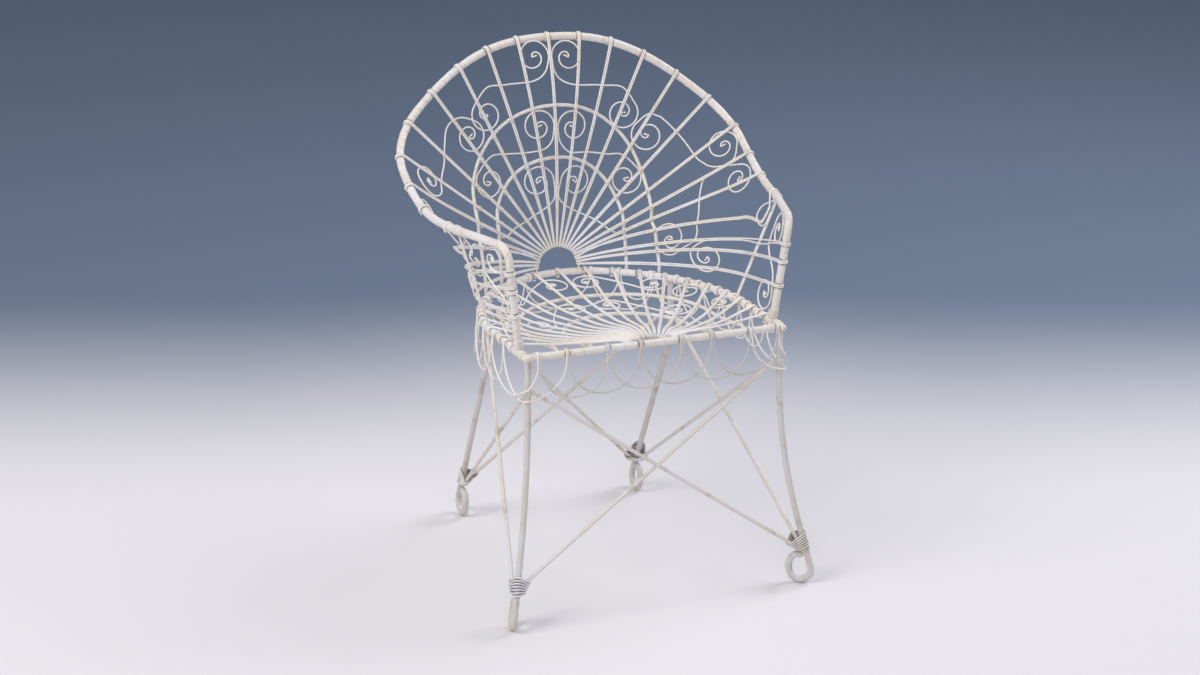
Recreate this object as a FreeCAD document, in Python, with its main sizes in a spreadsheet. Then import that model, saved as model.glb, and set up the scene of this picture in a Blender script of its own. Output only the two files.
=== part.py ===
import FreeCAD
import Part
import math
import os

Vec = FreeCAD.Vector

# A wirework garden armchair: bent rods carry fans of doubled wire hairpins,
# wrapped hoops, flat scrolls and a looped skirt. Front is -Y, right is +X,
# the floor is z = 0. All sizes are in millimetres and degrees.
SIZES = [
    ("seat_height", 440.0),
    ("back_line", 208.06),
    ("seat_half", 220.0),
    ("seat_straight", 160.0),
    ("seat_arch", 277.0),
    ("seat_back_radius", 150.0),
    ("seat_rod", 11.0),
    ("front_rod", 11.0),
    ("back_rod", 12.4),
    ("crown_height", 404.0),
    ("arm_height", 175.0),
    ("crown_lean", 46.0),
    ("rim_back_radius", 600.0),
    ("rim_corner_radius", 95.0),
    ("rim_half", 304.0),
    ("rim_arm_radius", 750.0),
    ("arm_station", 560.0),
    ("post_setback", 37.0),
    ("post_out", 20.0),
    ("post_forward", 12.0),
    ("post_bend", 24.0),
    ("tie_pitch", 56.5),
    ("spoke_wire", 2.4),
    ("pair_gap", 0.5),
    ("hub_step", 7.2),
    ("hub_rod", 5.0),
    ("hub_lift", 10.0),
    ("strut_wire", 2.8),
    ("strut_station", 373.0),
    ("hoop_rod", 6.0),
    ("outer_hoop_half", 155.0),
    ("outer_hoop_spring", 137.0),
    ("inner_hoop_half", 111.0),
    ("inner_hoop_spring", 92.0),
    ("scroll_wire", 2.4),
    ("scroll_radius", 27.0),
    ("panel_layer", -2.0),
    ("seat_spoke_pitch", 48.5),
    ("seat_hub_step", 8.3),
    ("seat_hub_setback", 12.0),
    ("seat_sag", 21.0),
    ("seat_outer_half", 161.0),
    ("seat_outer_reach", 323.0),
    ("seat_inner_half", 104.0),
    ("seat_inner_reach", 224.0),
    ("seat_scroll_radius", 23.0),
    ("skirt_wire", 2.8),
    ("skirt_depth", 70.0),
    ("leg_rod", 10.0),
    ("leg_inset", 3.0),
    ("front_leg_straight", 54.0),
    ("front_leg_bend", 1000.0),
    ("front_leg_splay", 52.0),
    ("rear_leg_station", 206.0),
    ("rear_leg_straight", 58.0),
    ("rear_leg_bend", 170.0),
    ("rear_leg_splay", 150.0),
    ("ankle_height", 57.0),
    ("foot_radius", 17.0),
    ("foot_flat", 0.8),
    ("brace_rod", 5.0),
    ("brace_low", 61.0),
    ("brace_drop", 56.0),
    ("binding_wire", 2.0),
    ("binding_pitch", 3.4),
    ("binding_turns", 7.0),
    ("clearance", 0.3),
]

doc = FreeCAD.newDocument("wire_garden_chair")
sheet = doc.addObject("Spreadsheet::Sheet", "Sizes")
for row, (name, value) in enumerate(SIZES, 1):
    sheet.set("A%d" % row, name)
    sheet.set("B%d" % row, str(value))
    sheet.setAlias("B%d" % row, name)
doc.recompute()


def size(name):
    return float(sheet.get(name))


SEAT_Z = size("seat_height")
BACK_Y = size("back_line")
SEAT_HALF = size("seat_half")
STRAIGHT = size("seat_straight")
ARCH = size("seat_arch")
BACK_R = size("seat_back_radius")
SIDE_R = (SEAT_HALF ** 2 + (ARCH - BACK_R) ** 2 - BACK_R ** 2) / (2 * (SEAT_HALF - BACK_R))
FRONT_Y = BACK_Y - ARCH - STRAIGHT
BAR_Y = FRONT_Y + size("front_rod") / 2
SEAT_ROD = size("seat_rod") / 2
BACK_ROD = size("back_rod") / 2
WIRE = size("spoke_wire")
CLEAR = size("clearance")
PAIR = (WIRE + size("pair_gap")) / 2
HUB_STEP = math.radians(size("hub_step"))
HUB_R = (2 * PAIR + WIRE + CLEAR) / HUB_STEP
HUB_Z = SEAT_Z + size("hub_lift")
TURN = math.atan2(SIDE_R - SEAT_HALF, ARCH - BACK_R)
BACK_ARC = BACK_R * TURN
SIDE_ARC = SIDE_R * (math.pi / 2 - TURN)
SEAT_LENGTH = BACK_ARC + SIDE_ARC + STRAIGHT
POST_S = SEAT_LENGTH - size("post_setback")
ARM_Z = SEAT_Z + size("arm_height")
SPOKES = 12
SEAT_SPOKES = 10


def unit(vector):
    result = Vec(vector)
    result.normalize()
    return result


def mix(a, b, share):
    return a + (b - a) * share


def flip(points):
    return [Vec(-p.x, p.y, p.z) for p in points]


# Faceted wire: a mitred prism along straight runs. Its flats are set by
# `face` at the run `base`, and carried from there to both ends.
def wire_solid(points, width, face, sides=4, base=0):
    runs = [unit(b - a) for a, b in zip(points, points[1:])]
    across = unit(runs[base].cross(face))
    over = runs[base].cross(across)
    radius = width * 0.566 if sides == 4 else width / 2 / math.cos(math.pi / sides) ** 0.5
    angles = [2 * math.pi * (i + 0.5) / sides for i in range(sides)]
    start = [points[base] + across * (radius * math.cos(a)) + over * (radius * math.sin(a)) for a in angles]

    def slide(ring, i, run):
        before = runs[i - 1] if i > 0 else runs[0]
        after = runs[i] if i < len(runs) else runs[-1]
        mitre = before + after
        return [p + run * ((points[i] - p).dot(mitre) / run.dot(mitre)) for p in ring]

    rings = [slide(start, base, runs[base])]
    for i in range(base + 1, len(points)):
        rings.append(slide(rings[-1], i, runs[i - 1]))
    for i in range(base - 1, -1, -1):
        rings.insert(0, slide(rings[0], i, runs[i]))
    faces = []
    for low, high in zip(rings, rings[1:]):
        for i in range(sides):
            j = (i + 1) % sides
            faces.append(Part.Face(Part.makePolygon([low[i], low[j], high[j], high[i], low[i]])))
    for end in (rings[0], rings[-1]):
        faces.append(Part.Face(Part.makePolygon(end + [end[0]])))
    shell = Part.makeShell(faces)
    shell.sewShape()
    solid = Part.Solid(shell)
    if solid.Volume < 0:
        solid.reverse()
    return solid


nodes = []


def keep(label, shape):
    feature = doc.addObject("Part::Feature", label)
    feature.Label = label
    feature.Shape = shape if not isinstance(shape, list) else Part.makeCompound(shape)
    nodes.append(feature)
    return feature


# Seat outline, measured along the rim from the middle of the back.
def seat_point(s):
    t = abs(s)
    if t <= BACK_ARC:
        a = t / BACK_R
        x, y = BACK_R * math.sin(a), BACK_R * (math.cos(a) - 1)
    elif t <= BACK_ARC + SIDE_ARC:
        a = TURN + (t - BACK_ARC) / SIDE_R
        x, y = SEAT_HALF - SIDE_R + SIDE_R * math.sin(a), -ARCH + SIDE_R * math.cos(a)
    else:
        x, y = SEAT_HALF, -ARCH - (t - BACK_ARC - SIDE_ARC)
    return Vec(math.copysign(x, s) if s else 0.0, BACK_Y + y, SEAT_Z)


def seat_heading(s):
    return unit(seat_point(s + 1) - seat_point(s - 1))


def seat_outward(s):
    run = seat_heading(s)
    return Vec(-run.y, run.x, 0)


# Back rim: plan of three arcs, height falling from crown to arm.
RIM_R = size("rim_back_radius")
CORNER_R = size("rim_corner_radius")
RIM_HALF = size("rim_half")
ARM_R = size("rim_arm_radius")
CROWN_Y = BACK_Y + size("crown_lean")
CORNER_X = RIM_HALF - CORNER_R
CORNER_Y = CROWN_Y - RIM_R + math.sqrt((RIM_R - CORNER_R) ** 2 - CORNER_X ** 2)
CORNER_TURN = math.asin(CORNER_X / (RIM_R - CORNER_R))
CROWN_ARC = RIM_R * CORNER_TURN
CORNER_ARC = CORNER_R * (math.pi / 2 - CORNER_TURN)
ARM_S = size("arm_station")


def rim_point(s):
    t = abs(s)
    if t <= CROWN_ARC:
        a = t / RIM_R
        x, y = RIM_R * math.sin(a), CROWN_Y - RIM_R + RIM_R * math.cos(a)
    elif t <= CROWN_ARC + CORNER_ARC:
        a = CORNER_TURN + (t - CROWN_ARC) / CORNER_R
        x, y = CORNER_X + CORNER_R * math.sin(a), CORNER_Y + CORNER_R * math.cos(a)
    else:
        a = (t - CROWN_ARC - CORNER_ARC) / ARM_R
        x, y = RIM_HALF - ARM_R + ARM_R * math.cos(a), CORNER_Y - ARM_R * math.sin(a)
    fall = (1 - min(t / ARM_S, 1.0) ** 2.5) ** 3.5
    z = SEAT_Z + size("arm_height") + (size("crown_height") - size("arm_height")) * fall
    return Vec(math.copysign(x, s) if s else 0.0, y, z)


def rim_heading(s):
    return unit(rim_point(s + 1) - rim_point(s - 1))


POST_FOOT = seat_point(POST_S) + Vec(0, 0, SEAT_ROD + CLEAR)
POST_TOP = Vec(POST_FOOT.x + size("post_out"), POST_FOOT.y - size("post_forward"), ARM_Z)
STRUT_FOOT = seat_point(size("strut_station")) + Vec(0, 0, SEAT_ROD)
STRUT_TOP = rim_point(ARM_S)


def on_post(z):
    return mix(POST_FOOT, POST_TOP, (z - POST_FOOT.z) / (POST_TOP.z - POST_FOOT.z))


# Fan of the back. k counts spokes from the middle, f runs from hub to tip.
POST_TIES = {10: 0.754, 11: 0.583, 12: 0.354}
STRUT_TIE = 0.80
REACH = {9: 385.0 / 508, 10: 1.0, 11: 1.0, 12: 1.0}
LIFT = {9: 0.8, 10: 1.0, 11: 1.0, 12: 1.5}


def fan_tip(k):
    if k <= 8:
        return rim_point(k * size("tie_pitch"))
    if k == 9:
        return mix(STRUT_FOOT, STRUT_TOP, STRUT_TIE)
    return on_post(SEAT_Z + size("arm_height") * POST_TIES[k])


def stepped(k, value):
    low = int(math.floor(k))
    if k - low < 1e-9 or low >= SPOKES:
        return value(min(low, SPOKES))
    return mix(value(low), value(low + 1), k - low)


def fan(k, f):
    if k < 0:
        mirrored = fan(-k, f)
        return Vec(-mirrored.x, mirrored.y, mirrored.z)
    angle = k * HUB_STEP
    near = HUB_R * math.sin(angle)
    hub = seat_point(near)
    hub.z = HUB_Z + HUB_R * math.cos(angle)
    tip = stepped(k, fan_tip) if k > 8 else fan_tip(k)
    lift = stepped(k, lambda n: LIFT.get(n, 1.0))
    p = mix(hub, tip, f)
    p.z = hub.z + (tip.z - hub.z) * max(f, 0.0) ** lift
    bow = min(max((k - 6.5) / 3, 0.0), 1.0)
    if bow > 0:
        far = POST_S * stepped(k, lambda n: REACH.get(n, n * size("tie_pitch") / 690.0))
        here = near + (far - near) * f
        chord = mix(seat_point(near), seat_point(far), f)
        p += (seat_point(here) - chord) * bow
        p += seat_outward(here) * (bow * 0.26 * (p.z - SEAT_Z) * 4 * f * (1 - f))
    if k < 4:
        upright = math.cos(k / 4 * math.pi / 2) ** 2
        curved = hub.y + (tip.y - hub.y) * max(f, 0.0) ** 3.2
        p.y = p.y * (1 - upright) + curved * upright
    return p


def fan_slopes(k, f):
    d = 0.02
    return ((fan(k + d, f) - fan(k - d, f)) * (0.5 / d), (fan(k, f + d) - fan(k, f - d)) * (0.5 / d))


def fan_normal(k, f):
    across, along = fan_slopes(min(max(k, -11.97), 11.97), min(max(f, 0.03), 0.97))
    return unit(along.cross(across))


# A doubled wire that runs from the hub, hooks over a rod and comes back.
def hairpin(low_run, high_run, centre, axis, normal, rod_radius):
    reach = rod_radius + WIRE / 2 + CLEAR
    heading = unit(low_run[-1] - low_run[-2])
    slant = math.sqrt(1 - heading.dot(axis) ** 2)
    step = axis * (PAIR / slant)
    out = unit(axis.cross(normal))
    if out.dot(heading) < 0:
        out = out * -1
    turn = [
        out * (0.577 * reach) - normal * reach,
        out * (1.155 * reach),
        out * (0.577 * reach) + normal * reach,
        out * (-0.6 * reach) + normal * reach,
    ]
    first = [p for p in low_run] + [centre - step + q for q in turn]
    second = [p for p in high_run] + [centre + step + q for q in turn]
    return wire_solid(first + second[::-1], WIRE, normal, 4, len(first) - 1)


def spoke_shares(k):
    n = abs(k)
    if n < 4:
        return [0.0, 0.4, 0.62, 0.78, 0.9]
    if n < 7:
        return [0.0, 0.5]
    if n < 9:
        return [0.0, 0.3, 0.6, 0.82]
    return [0.0, 0.12, 0.25, 0.38, 0.5, 0.62, 0.74, 0.86, 0.94]


def tip_rod(k):
    n = abs(k)
    if n <= 8:
        s = k * size("tie_pitch")
        return rim_point(s), rim_heading(s), BACK_ROD
    side = 1 if k > 0 else -1
    tip = fan_tip(n)
    if n == 9:
        axis = unit(STRUT_TOP - STRUT_FOOT)
        radius = size("strut_wire") + CLEAR / 2
    else:
        axis = unit(POST_TOP - POST_FOOT)
        radius = BACK_ROD
    return Vec(side * tip.x, tip.y, tip.z), Vec(side * axis.x, axis.y, axis.z), radius


def spoke_lean(k, rod_radius):
    return rod_radius + WIRE / 2 + CLEAR


def spoke_point(k, f):
    centre, axis, radius = tip_rod(k)
    normal = fan_normal(k, 0.97)
    return fan(k, f) - normal * (spoke_lean(k, radius) * f)


def back_spoke(k):
    centre, axis, radius = tip_rod(k)
    normal = fan_normal(k, 0.97)
    normal = unit(normal - axis * normal.dot(axis))
    low, high = [], []
    shares = spoke_shares(k)
    for f in shares:
        p = spoke_point(k, f)
        along = unit(spoke_point(k, f + 0.02) - spoke_point(k, max(f - 0.02, 0.0)))
        aside = unit(along.cross(fan_normal(k, f)))
        if aside.dot(axis) < 0:
            aside = aside * -1
        low.append(p - aside * PAIR)
        high.append(p + aside * PAIR)
    return hairpin(low, high, centre, axis, normal, radius)


def sheet_point(k, f, layer):
    low = int(math.floor(k))
    lean = 0.0
    for n, share in ((low, 1 - (k - low)), (low + 1, k - low)):
        if share > 0:
            radius = tip_rod(max(min(n, SPOKES), -SPOKES))[2]
            lean += share * spoke_lean(n, radius) * f
    return fan(k, f) + fan_normal(k, f) * (layer - lean)


# Hoops of the back: a round arch on straight legs, seen from the front.
def hoop_share(k, half, spring):
    low, high = 0.0, 1.0
    for _ in range(40):
        f = (low + high) / 2
        p = fan(k, f)
        rise = p.z - SEAT_Z - spring
        inside = math.hypot(p.x, rise) < half if rise > 0 else abs(p.x) < half
        if inside:
            low = f
        else:
            high = f
    return low


def back_hoop(half, spring):
    layer = (WIRE + size("hoop_rod")) / 2 + CLEAR
    points = []
    for k in range(0, SPOKES + 1):
        points.append(sheet_point(k, hoop_share(k, half, spring), layer))
    last = points[-1]
    foot = Vec(last.x, last.y, SEAT_Z + SEAT_ROD + CLEAR)
    points.append(foot)
    whole = flip(points[:0:-1]) + points
    return wire_solid(whole, size("hoop_rod"), Vec(0, 1, 0), 6)


# A flat spiral: stations around a centre, from the outer end inwards.
def spiral(radius, angle, hand, turns, count):
    stations = []
    for i in range(count + 1):
        share = i / count
        r = radius * (0.56 + 0.44 * math.cos(math.pi * share ** 1.35))
        a = angle + hand * 2 * math.pi * turns * share
        stations.append((r * math.cos(a), r * math.sin(a)))
    return stations


def leave_angle(offset, radius, hand):
    distance = math.hypot(offset[0], offset[1])
    return math.atan2(offset[1], offset[0]) + hand * math.acos(min(radius / distance, 1.0))


def smooth(stations, steps):
    result = []
    count = len(stations)
    for i in range(count - 1):
        a = stations[max(i - 1, 0)]
        b = stations[i]
        c = stations[i + 1]
        d = stations[min(i + 2, count - 1)]
        for j in range(steps):
            t = j / steps
            result.append(tuple(
                0.5 * (2 * b[n] + (c[n] - a[n]) * t + (2 * a[n] - 5 * b[n] + 4 * c[n] - d[n]) * t * t
                       + (3 * b[n] - a[n] - 3 * c[n] + d[n]) * t ** 3)
                for n in (0, 1)))
    result.append(stations[-1])
    return result


# Scroll on a surface: spirals at its ends, a bent shaft through the stations.
def scroll_path(surface, slopes, ends, via, radius, turns=1.6, count=14):
    runs = []
    targets = [via[0] if via else ends[-1][:2], via[-1] if via else ends[0][:2]]
    for (u, v, hand), target in zip(ends, targets):
        across, along = slopes(u, v)
        right = unit(across)
        up = unit(along - right * along.dot(right))
        du, dv = target[0] - u, target[1] - v
        offset = (across * du + along * dv)
        flat = (offset.dot(right), offset.dot(up))
        start = leave_angle(flat, radius, hand)
        skew = along.dot(right)
        run = []
        for x, y in spiral(radius, start, hand, turns, count):
            dv = y / along.dot(up)
            du = (x - dv * skew) / across.Length
            run.append((u + du, v + dv))
        runs.append(run)
    if len(runs) == 1:
        stations = runs[0][::-1] + smooth([runs[0][0]] + via, 3)[1:]
    else:
        shaft = smooth([runs[0][0]] + via + [runs[1][0]], 3)
        stations = runs[0][::-1] + shaft[1:-1] + runs[1]
    return [surface(u, v) for u, v in stations]


SCROLL = size("scroll_wire")
LAYER_ONE = (WIRE + SCROLL) / 2 + CLEAR
LAYER_TWO = LAYER_ONE + 0.8 * SCROLL + CLEAR


def back_scroll(ends, via, layer):
    path = scroll_path(lambda k, f: sheet_point(k, f, layer), fan_slopes, ends, via, size("scroll_radius"))
    k, f = ends[0][:2]
    return wire_solid(path, SCROLL, fan_normal(k, f))


# Seat fan: spokes spread from a half ring behind the front bar to the rim.
SEAT_STEP = math.radians(size("seat_hub_step"))
SEAT_HUB_R = (2 * PAIR + WIRE + CLEAR) / SEAT_STEP
SEAT_HUB = Vec(0, FRONT_Y + size("seat_hub_setback"), 0)
SEAT_TOP = SEAT_Z + SEAT_ROD + WIRE / 2 + CLEAR


SEAT_KNOTS = (0.0, 0.3, 0.62, 1.0)


def dish(j, g):
    depth = size("seat_sag") * (1 - min(abs(j) / (SEAT_SPOKES + 0.5), 1.0) ** 4)
    for low, high in zip(SEAT_KNOTS, SEAT_KNOTS[1:]):
        if g <= high or high == 1.0:
            share = (g - low) / (high - low)
            return depth * 4 * mix(low * (1 - low), high * (1 - high), share)


def seat_fan(j, g):
    angle = j * SEAT_STEP
    hub = SEAT_HUB + Vec(math.sin(angle), math.cos(angle), 0) * SEAT_HUB_R
    tip = seat_point(j * size("seat_spoke_pitch"))
    p = mix(hub, tip, g)
    p.z = SEAT_TOP - dish(j, g)
    return p


def seat_slopes(j, g):
    d = 0.02
    across = (seat_fan(j + d, g) - seat_fan(j - d, g)) * (0.5 / d)
    return across, (seat_fan(j, g + d) - seat_fan(j, g - d)) * (0.5 / d)


def seat_normal(j, g):
    across, along = seat_slopes(j, g)
    down = unit(along.cross(across))
    return down if down.z < 0 else down * -1


def seat_sheet(j, g, layer):
    return seat_fan(j, g) + seat_normal(j, g) * layer


def seat_station(x, y):
    low, high = 0.0, SEAT_SPOKES + 0.9
    for _ in range(40):
        j = (low + high) / 2
        hub, tip = seat_fan(j, 0.0), seat_fan(j, 1.0)
        side = (tip.x - hub.x) * (y - hub.y) - (tip.y - hub.y) * (abs(x) - hub.x)
        if side < 0:
            low = j
        else:
            high = j
    hub, tip = seat_fan(low, 0.0), seat_fan(low, 1.0)
    run = Vec(tip.x - hub.x, tip.y - hub.y, 0)
    g = ((abs(x) - hub.x) * run.x + (y - hub.y) * run.y) / run.dot(run)
    return (low if x >= 0 else -low), g


def seat_spoke(j):
    s = j * size("seat_spoke_pitch")
    axis = seat_heading(s)
    low, high = [], []
    for g in SEAT_KNOTS[:-1]:
        p = seat_fan(j, g)
        along = unit(seat_fan(j, g + 0.02) - seat_fan(j, g - 0.02))
        aside = unit(along.cross(Vec(0, 0, 1)))
        if aside.dot(axis) < 0:
            aside = aside * -1
        low.append(p - aside * PAIR)
        high.append(p + aside * PAIR)
    return hairpin(low, high, seat_point(s), axis, Vec(0, 0, -1), SEAT_ROD)


def seat_hoop(half, reach):
    layer = (WIRE + size("hoop_rod")) / 2 + CLEAR
    centre = FRONT_Y + reach - half
    plan = []
    for i in range(9):
        a = math.pi / 2 * i / 8
        plan.append((half * math.sin(a), centre + half * math.cos(a)))
    front = FRONT_Y + size("front_rod") + CLEAR
    for share in (0.3, 0.6, 0.85):
        plan.append((half, mix(centre, front, share)))
    points = []
    for x, y in plan:
        j, g = seat_station(x, y)
        points.append(seat_sheet(j, g, layer))
    last = points[-1]
    points.append(Vec(last.x, front, min(last.z, SEAT_Z - size("hoop_rod") / 2)))
    whole = flip(points[:0:-1]) + points
    return wire_solid(whole, size("hoop_rod"), Vec(0, 0, 1), 6)


# Share along spoke j where a place between the outer hoop and the rim lies.
def seat_between(j, share):
    half = size("seat_outer_half")
    centre = FRONT_Y + size("seat_outer_reach") - half
    low, high = 0.0, 1.0
    for _ in range(40):
        g = (low + high) / 2
        p = seat_fan(abs(j), g)
        inside = math.hypot(p.x, p.y - centre) < half if p.y > centre else p.x < half
        if inside:
            low = g
        else:
            high = g
    return mix(low, 1.0, share)


def seat_scroll(ends):
    path = scroll_path(lambda j, g: seat_sheet(j, g, LAYER_ONE), seat_slopes, ends, [],
                       size("seat_scroll_radius"), 1.25, 11)
    return wire_solid(path, SCROLL, Vec(0, 0, 1))


# Skirt: scallops of wire that hang from the rim, each spanning two ties.
# Its stations run along the front bar from the middle, round the corners
# and back along the sides.
CORNER = 8.0


def hem_station(s):
    return SEAT_HALF + CORNER + SEAT_LENGTH + FRONT_Y - BAR_Y - s


def hem_point(t):
    beyond = abs(t) - SEAT_HALF - CORNER
    if beyond > 0:
        return seat_point(math.copysign(SEAT_LENGTH + FRONT_Y - BAR_Y - beyond, t))
    return Vec(max(min(t, SEAT_HALF), -SEAT_HALF), BAR_Y, SEAT_Z)


def hem_outward(t):
    beyond = abs(t) - SEAT_HALF
    if beyond > CORNER:
        return seat_outward(math.copysign(SEAT_LENGTH + FRONT_Y - BAR_Y - beyond + CORNER, t))
    a = math.pi / 2 * max(beyond, 0.0) / CORNER
    return Vec(math.copysign(math.sin(a), t), -math.cos(a), 0)


def scallop(place, outward, start, end, depth, layer, rod_radius, corners):
    wire = size("skirt_wire")
    base = rod_radius + wire / 2 + CLEAR
    reach = base + layer
    hooks = []
    for s in (start, end):
        hooks.append([
            place(s) + outward(s) * (-0.3 * base) + Vec(0, 0, base),
            place(s) + outward(s) * (0.6 * reach) + Vec(0, 0, base),
            place(s) + outward(s) * reach + Vec(0, 0, 0.5 * base),
        ])
    angles = [math.radians(d) for d in (15, 40, 66, 90, 114, 140, 165)]
    marks = [(c - start) / (end - start) for c in corners if start < c < end]
    near = 2 * reach / (end - start)
    shares = [0.5 - 0.5 * math.cos(a) for a in angles]
    shares = marks + [v for v in shares if all(abs(v - m) > near for m in marks)]
    hang = []
    for share in sorted(shares):
        s = mix(start, end, share)
        sink = depth * (2 * math.sqrt(share * (1 - share))) ** 0.8
        hang.append(place(s) + outward(s) * reach - Vec(0, 0, sink))
    middle = len(hooks[0]) + len(hang) // 2
    return wire_solid(hooks[0] + hang + hooks[1][::-1], wire, outward(mix(start, end, 0.5)), 4, middle)


def skirt(place, outward, ties, rod_radius, corners, open_ends):
    wire = size("skirt_wire")
    inset = wire + CLEAR
    last = len(ties) - 1
    loops = []
    for i in range(-1, last) if open_ends else range(0, last - 1):
        start = ties[max(i, 0)] + inset * (0.5 if i >= 0 else 1.6)
        end = ties[min(i + 2, last)] - inset * (0.5 if i + 2 <= last else 1.6)
        whole = 0 <= i <= last - 2
        depth = size("skirt_depth") * (1.0 if whole else 0.7)
        layer = (wire + CLEAR) * (i % 2)
        loops.append(scallop(place, outward, start, end, depth, layer, rod_radius, corners))
    return loops


# Legs: straight at the top, a sweep outwards, a teardrop loop for a foot.
class Leg:
    def __init__(self, top, out, straight, bend, splay, twist):
        self.top = Vec(top.x, top.y, SEAT_Z - SEAT_ROD - CLEAR)
        self.out = unit(out)
        self.knee = self.top.z - straight
        self.radius = bend
        self.twist = math.radians(twist)
        drop = self.knee - size("ankle_height")
        low, high = 0.0, math.asin(min(drop / bend, 1.0))
        for _ in range(50):
            self.sweep = (low + high) / 2
            if self.shift(drop) < splay:
                low = self.sweep
            else:
                high = self.sweep

    def shift(self, drop):
        if drop <= 0:
            return 0.0
        turned = self.radius * math.sin(self.sweep)
        if drop < turned:
            return self.radius - math.sqrt(self.radius ** 2 - drop ** 2)
        return self.radius * (1 - math.cos(self.sweep)) + (drop - turned) * math.tan(self.sweep)

    def axis(self, z):
        return Vec(self.top.x, self.top.y, z) + self.out * self.shift(self.knee - z)

    def shape(self):
        r = size("foot_radius")
        rod = size("leg_rod")
        ankle = self.axis(size("ankle_height"))
        down = self.out * math.sin(self.sweep) - Vec(0, 0, math.cos(self.sweep))
        inward = self.out * -math.cos(self.sweep) - Vec(0, 0, math.sin(self.sweep))
        inward = inward * math.cos(self.twist) + down.cross(inward) * math.sin(self.twist)
        level = r + rod / 2 - size("foot_flat")
        straight = (ankle.z - level + r * inward.z) / -down.z
        heel = ankle + down * straight
        centre = heel + inward * r
        tip_in, tip_up = rod + CLEAR, straight * 0.94
        away = math.hypot(tip_in - r, tip_up)
        leave = math.atan2(tip_up, tip_in - r) - math.acos(r / away)

        def at(angle):
            # station on the round of the foot, measured from its heel side
            return centre + inward * (r * math.cos(angle)) - down * (r * math.sin(angle))

        end = heel + inward * tip_in - down * tip_up
        points = [self.top]
        turned = self.radius * math.sin(self.sweep)
        for i in range(6):
            points.append(self.axis(self.knee - turned * i / 5))
        for i in range(12):
            points.append(at(mix(-math.pi, leave, i / 11)))
        points.append(end)
        solid = wire_solid(points, rod, self.out.cross(Vec(0, 0, 1)), 12)
        floor = Part.makeBox(2000, 2000, 100, Vec(-1000, -1000, -100))
        return solid.cut(floor)


# Seat frame
half_plan = [BACK_ARC * i / 4 for i in range(1, 5)]
half_plan += [BACK_ARC + SIDE_ARC * i / 6 for i in range(1, 7)] + [SEAT_LENGTH]
plan = [-s for s in half_plan[::-1]] + [0.0] + half_plan
keep("seat_rim", wire_solid([seat_point(s) for s in plan], 2 * SEAT_ROD, Vec(0, 0, 1), 12, len(half_plan)))

bar = doc.addObject("Part::Cylinder", "seat_front_bar")
bar.Label = "seat_front_bar"
bar.setExpression("Radius", "Sizes.front_rod / 2")
bar.setExpression("Height", "2 * (Sizes.seat_half - Sizes.seat_rod / 2 - Sizes.clearance)")
bar.Placement = FreeCAD.Placement(
    Vec(-(SEAT_HALF - SEAT_ROD - CLEAR), BAR_Y, SEAT_Z),
    FreeCAD.Rotation(Vec(0, 1, 0), 90))
nodes.append(bar)

# Back rim with arms and posts, one rod
half_rim = [40, 80, 120, 155, 185, 210, 232, 254, 276, 298, 322, 350, 385, 425, 470, 515]
points = [rim_point(s * ARM_S / 560.0) for s in half_rim] + [STRUT_TOP]
post_run = unit(POST_TOP - POST_FOOT)
arm_run = unit(POST_TOP - STRUT_TOP)
turn = math.acos(arm_run.dot(post_run * -1))
bend = size("post_bend")
bend_from = POST_TOP - arm_run * (bend * math.tan(turn / 2))
bend_side = unit(post_run * -1 - arm_run * math.cos(turn))
for i in range(6):
    a = turn * i / 5
    points.append(bend_from + arm_run * (bend * math.sin(a)) + bend_side * (bend * (1 - math.cos(a))))
points += [POST_FOOT + Vec(0, 0, 2 * BACK_ROD), POST_FOOT]
whole = flip(points[::-1]) + [rim_point(0.0)] + points
keep("back_rim", wire_solid(whole, 2 * BACK_ROD, Vec(0, 0, 1), 12, len(points)))

# Arm struts, doubled wires from the seat rim to the arm
strut_run = unit(STRUT_TOP - STRUT_FOOT)
strut_side = unit(strut_run.cross(seat_outward(size("strut_station"))))
strut_pair = (size("strut_wire") + size("pair_gap")) / 2
strut_tilt = math.tan(strut_run.getAngle(Vec(0, 0, 1)))
strut_low = STRUT_FOOT + strut_run * (CLEAR + size("strut_wire") / 2 * strut_tilt)
strut_high = STRUT_TOP - strut_run * (BACK_ROD + CLEAR + 2 * strut_pair * strut_tilt)
strut_ends = [[p + strut_side * (hand * strut_pair) for p in (strut_low, strut_high)] for hand in (1, -1)]
mirror_side = flip([strut_side])[0]
keep("arm_strut_right", [wire_solid(p, size("strut_wire"), strut_side, 6) for p in strut_ends])
keep("arm_strut_left", [wire_solid(flip(p), size("strut_wire"), mirror_side, 6) for p in strut_ends])

# Legs and their crossed braces
rear_top = seat_point(size("rear_leg_station"))
front_top = Vec(SEAT_HALF - size("leg_inset"), FRONT_Y + size("leg_rod") / 2, 0)
front_bend = (size("front_leg_straight"), size("front_leg_bend"), size("front_leg_splay"))
rear_bend = (size("rear_leg_straight"), size("rear_leg_bend"), size("rear_leg_splay"))
legs = {
    "front_right": Leg(front_top, Vec(0.83, -0.56, 0), *front_bend, 0),
    "front_left": Leg(Vec(-front_top.x, front_top.y, 0), Vec(-0.69, -0.72, 0), *front_bend, -28),
    "rear_right": Leg(rear_top, Vec(0, 1, 0), *rear_bend, 0),
    "rear_left": Leg(Vec(-rear_top.x, rear_top.y, 0), Vec(0, 1, 0), *rear_bend, 0),
}
for name, leg in legs.items():
    keep("leg_" + name, leg.shape())

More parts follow.
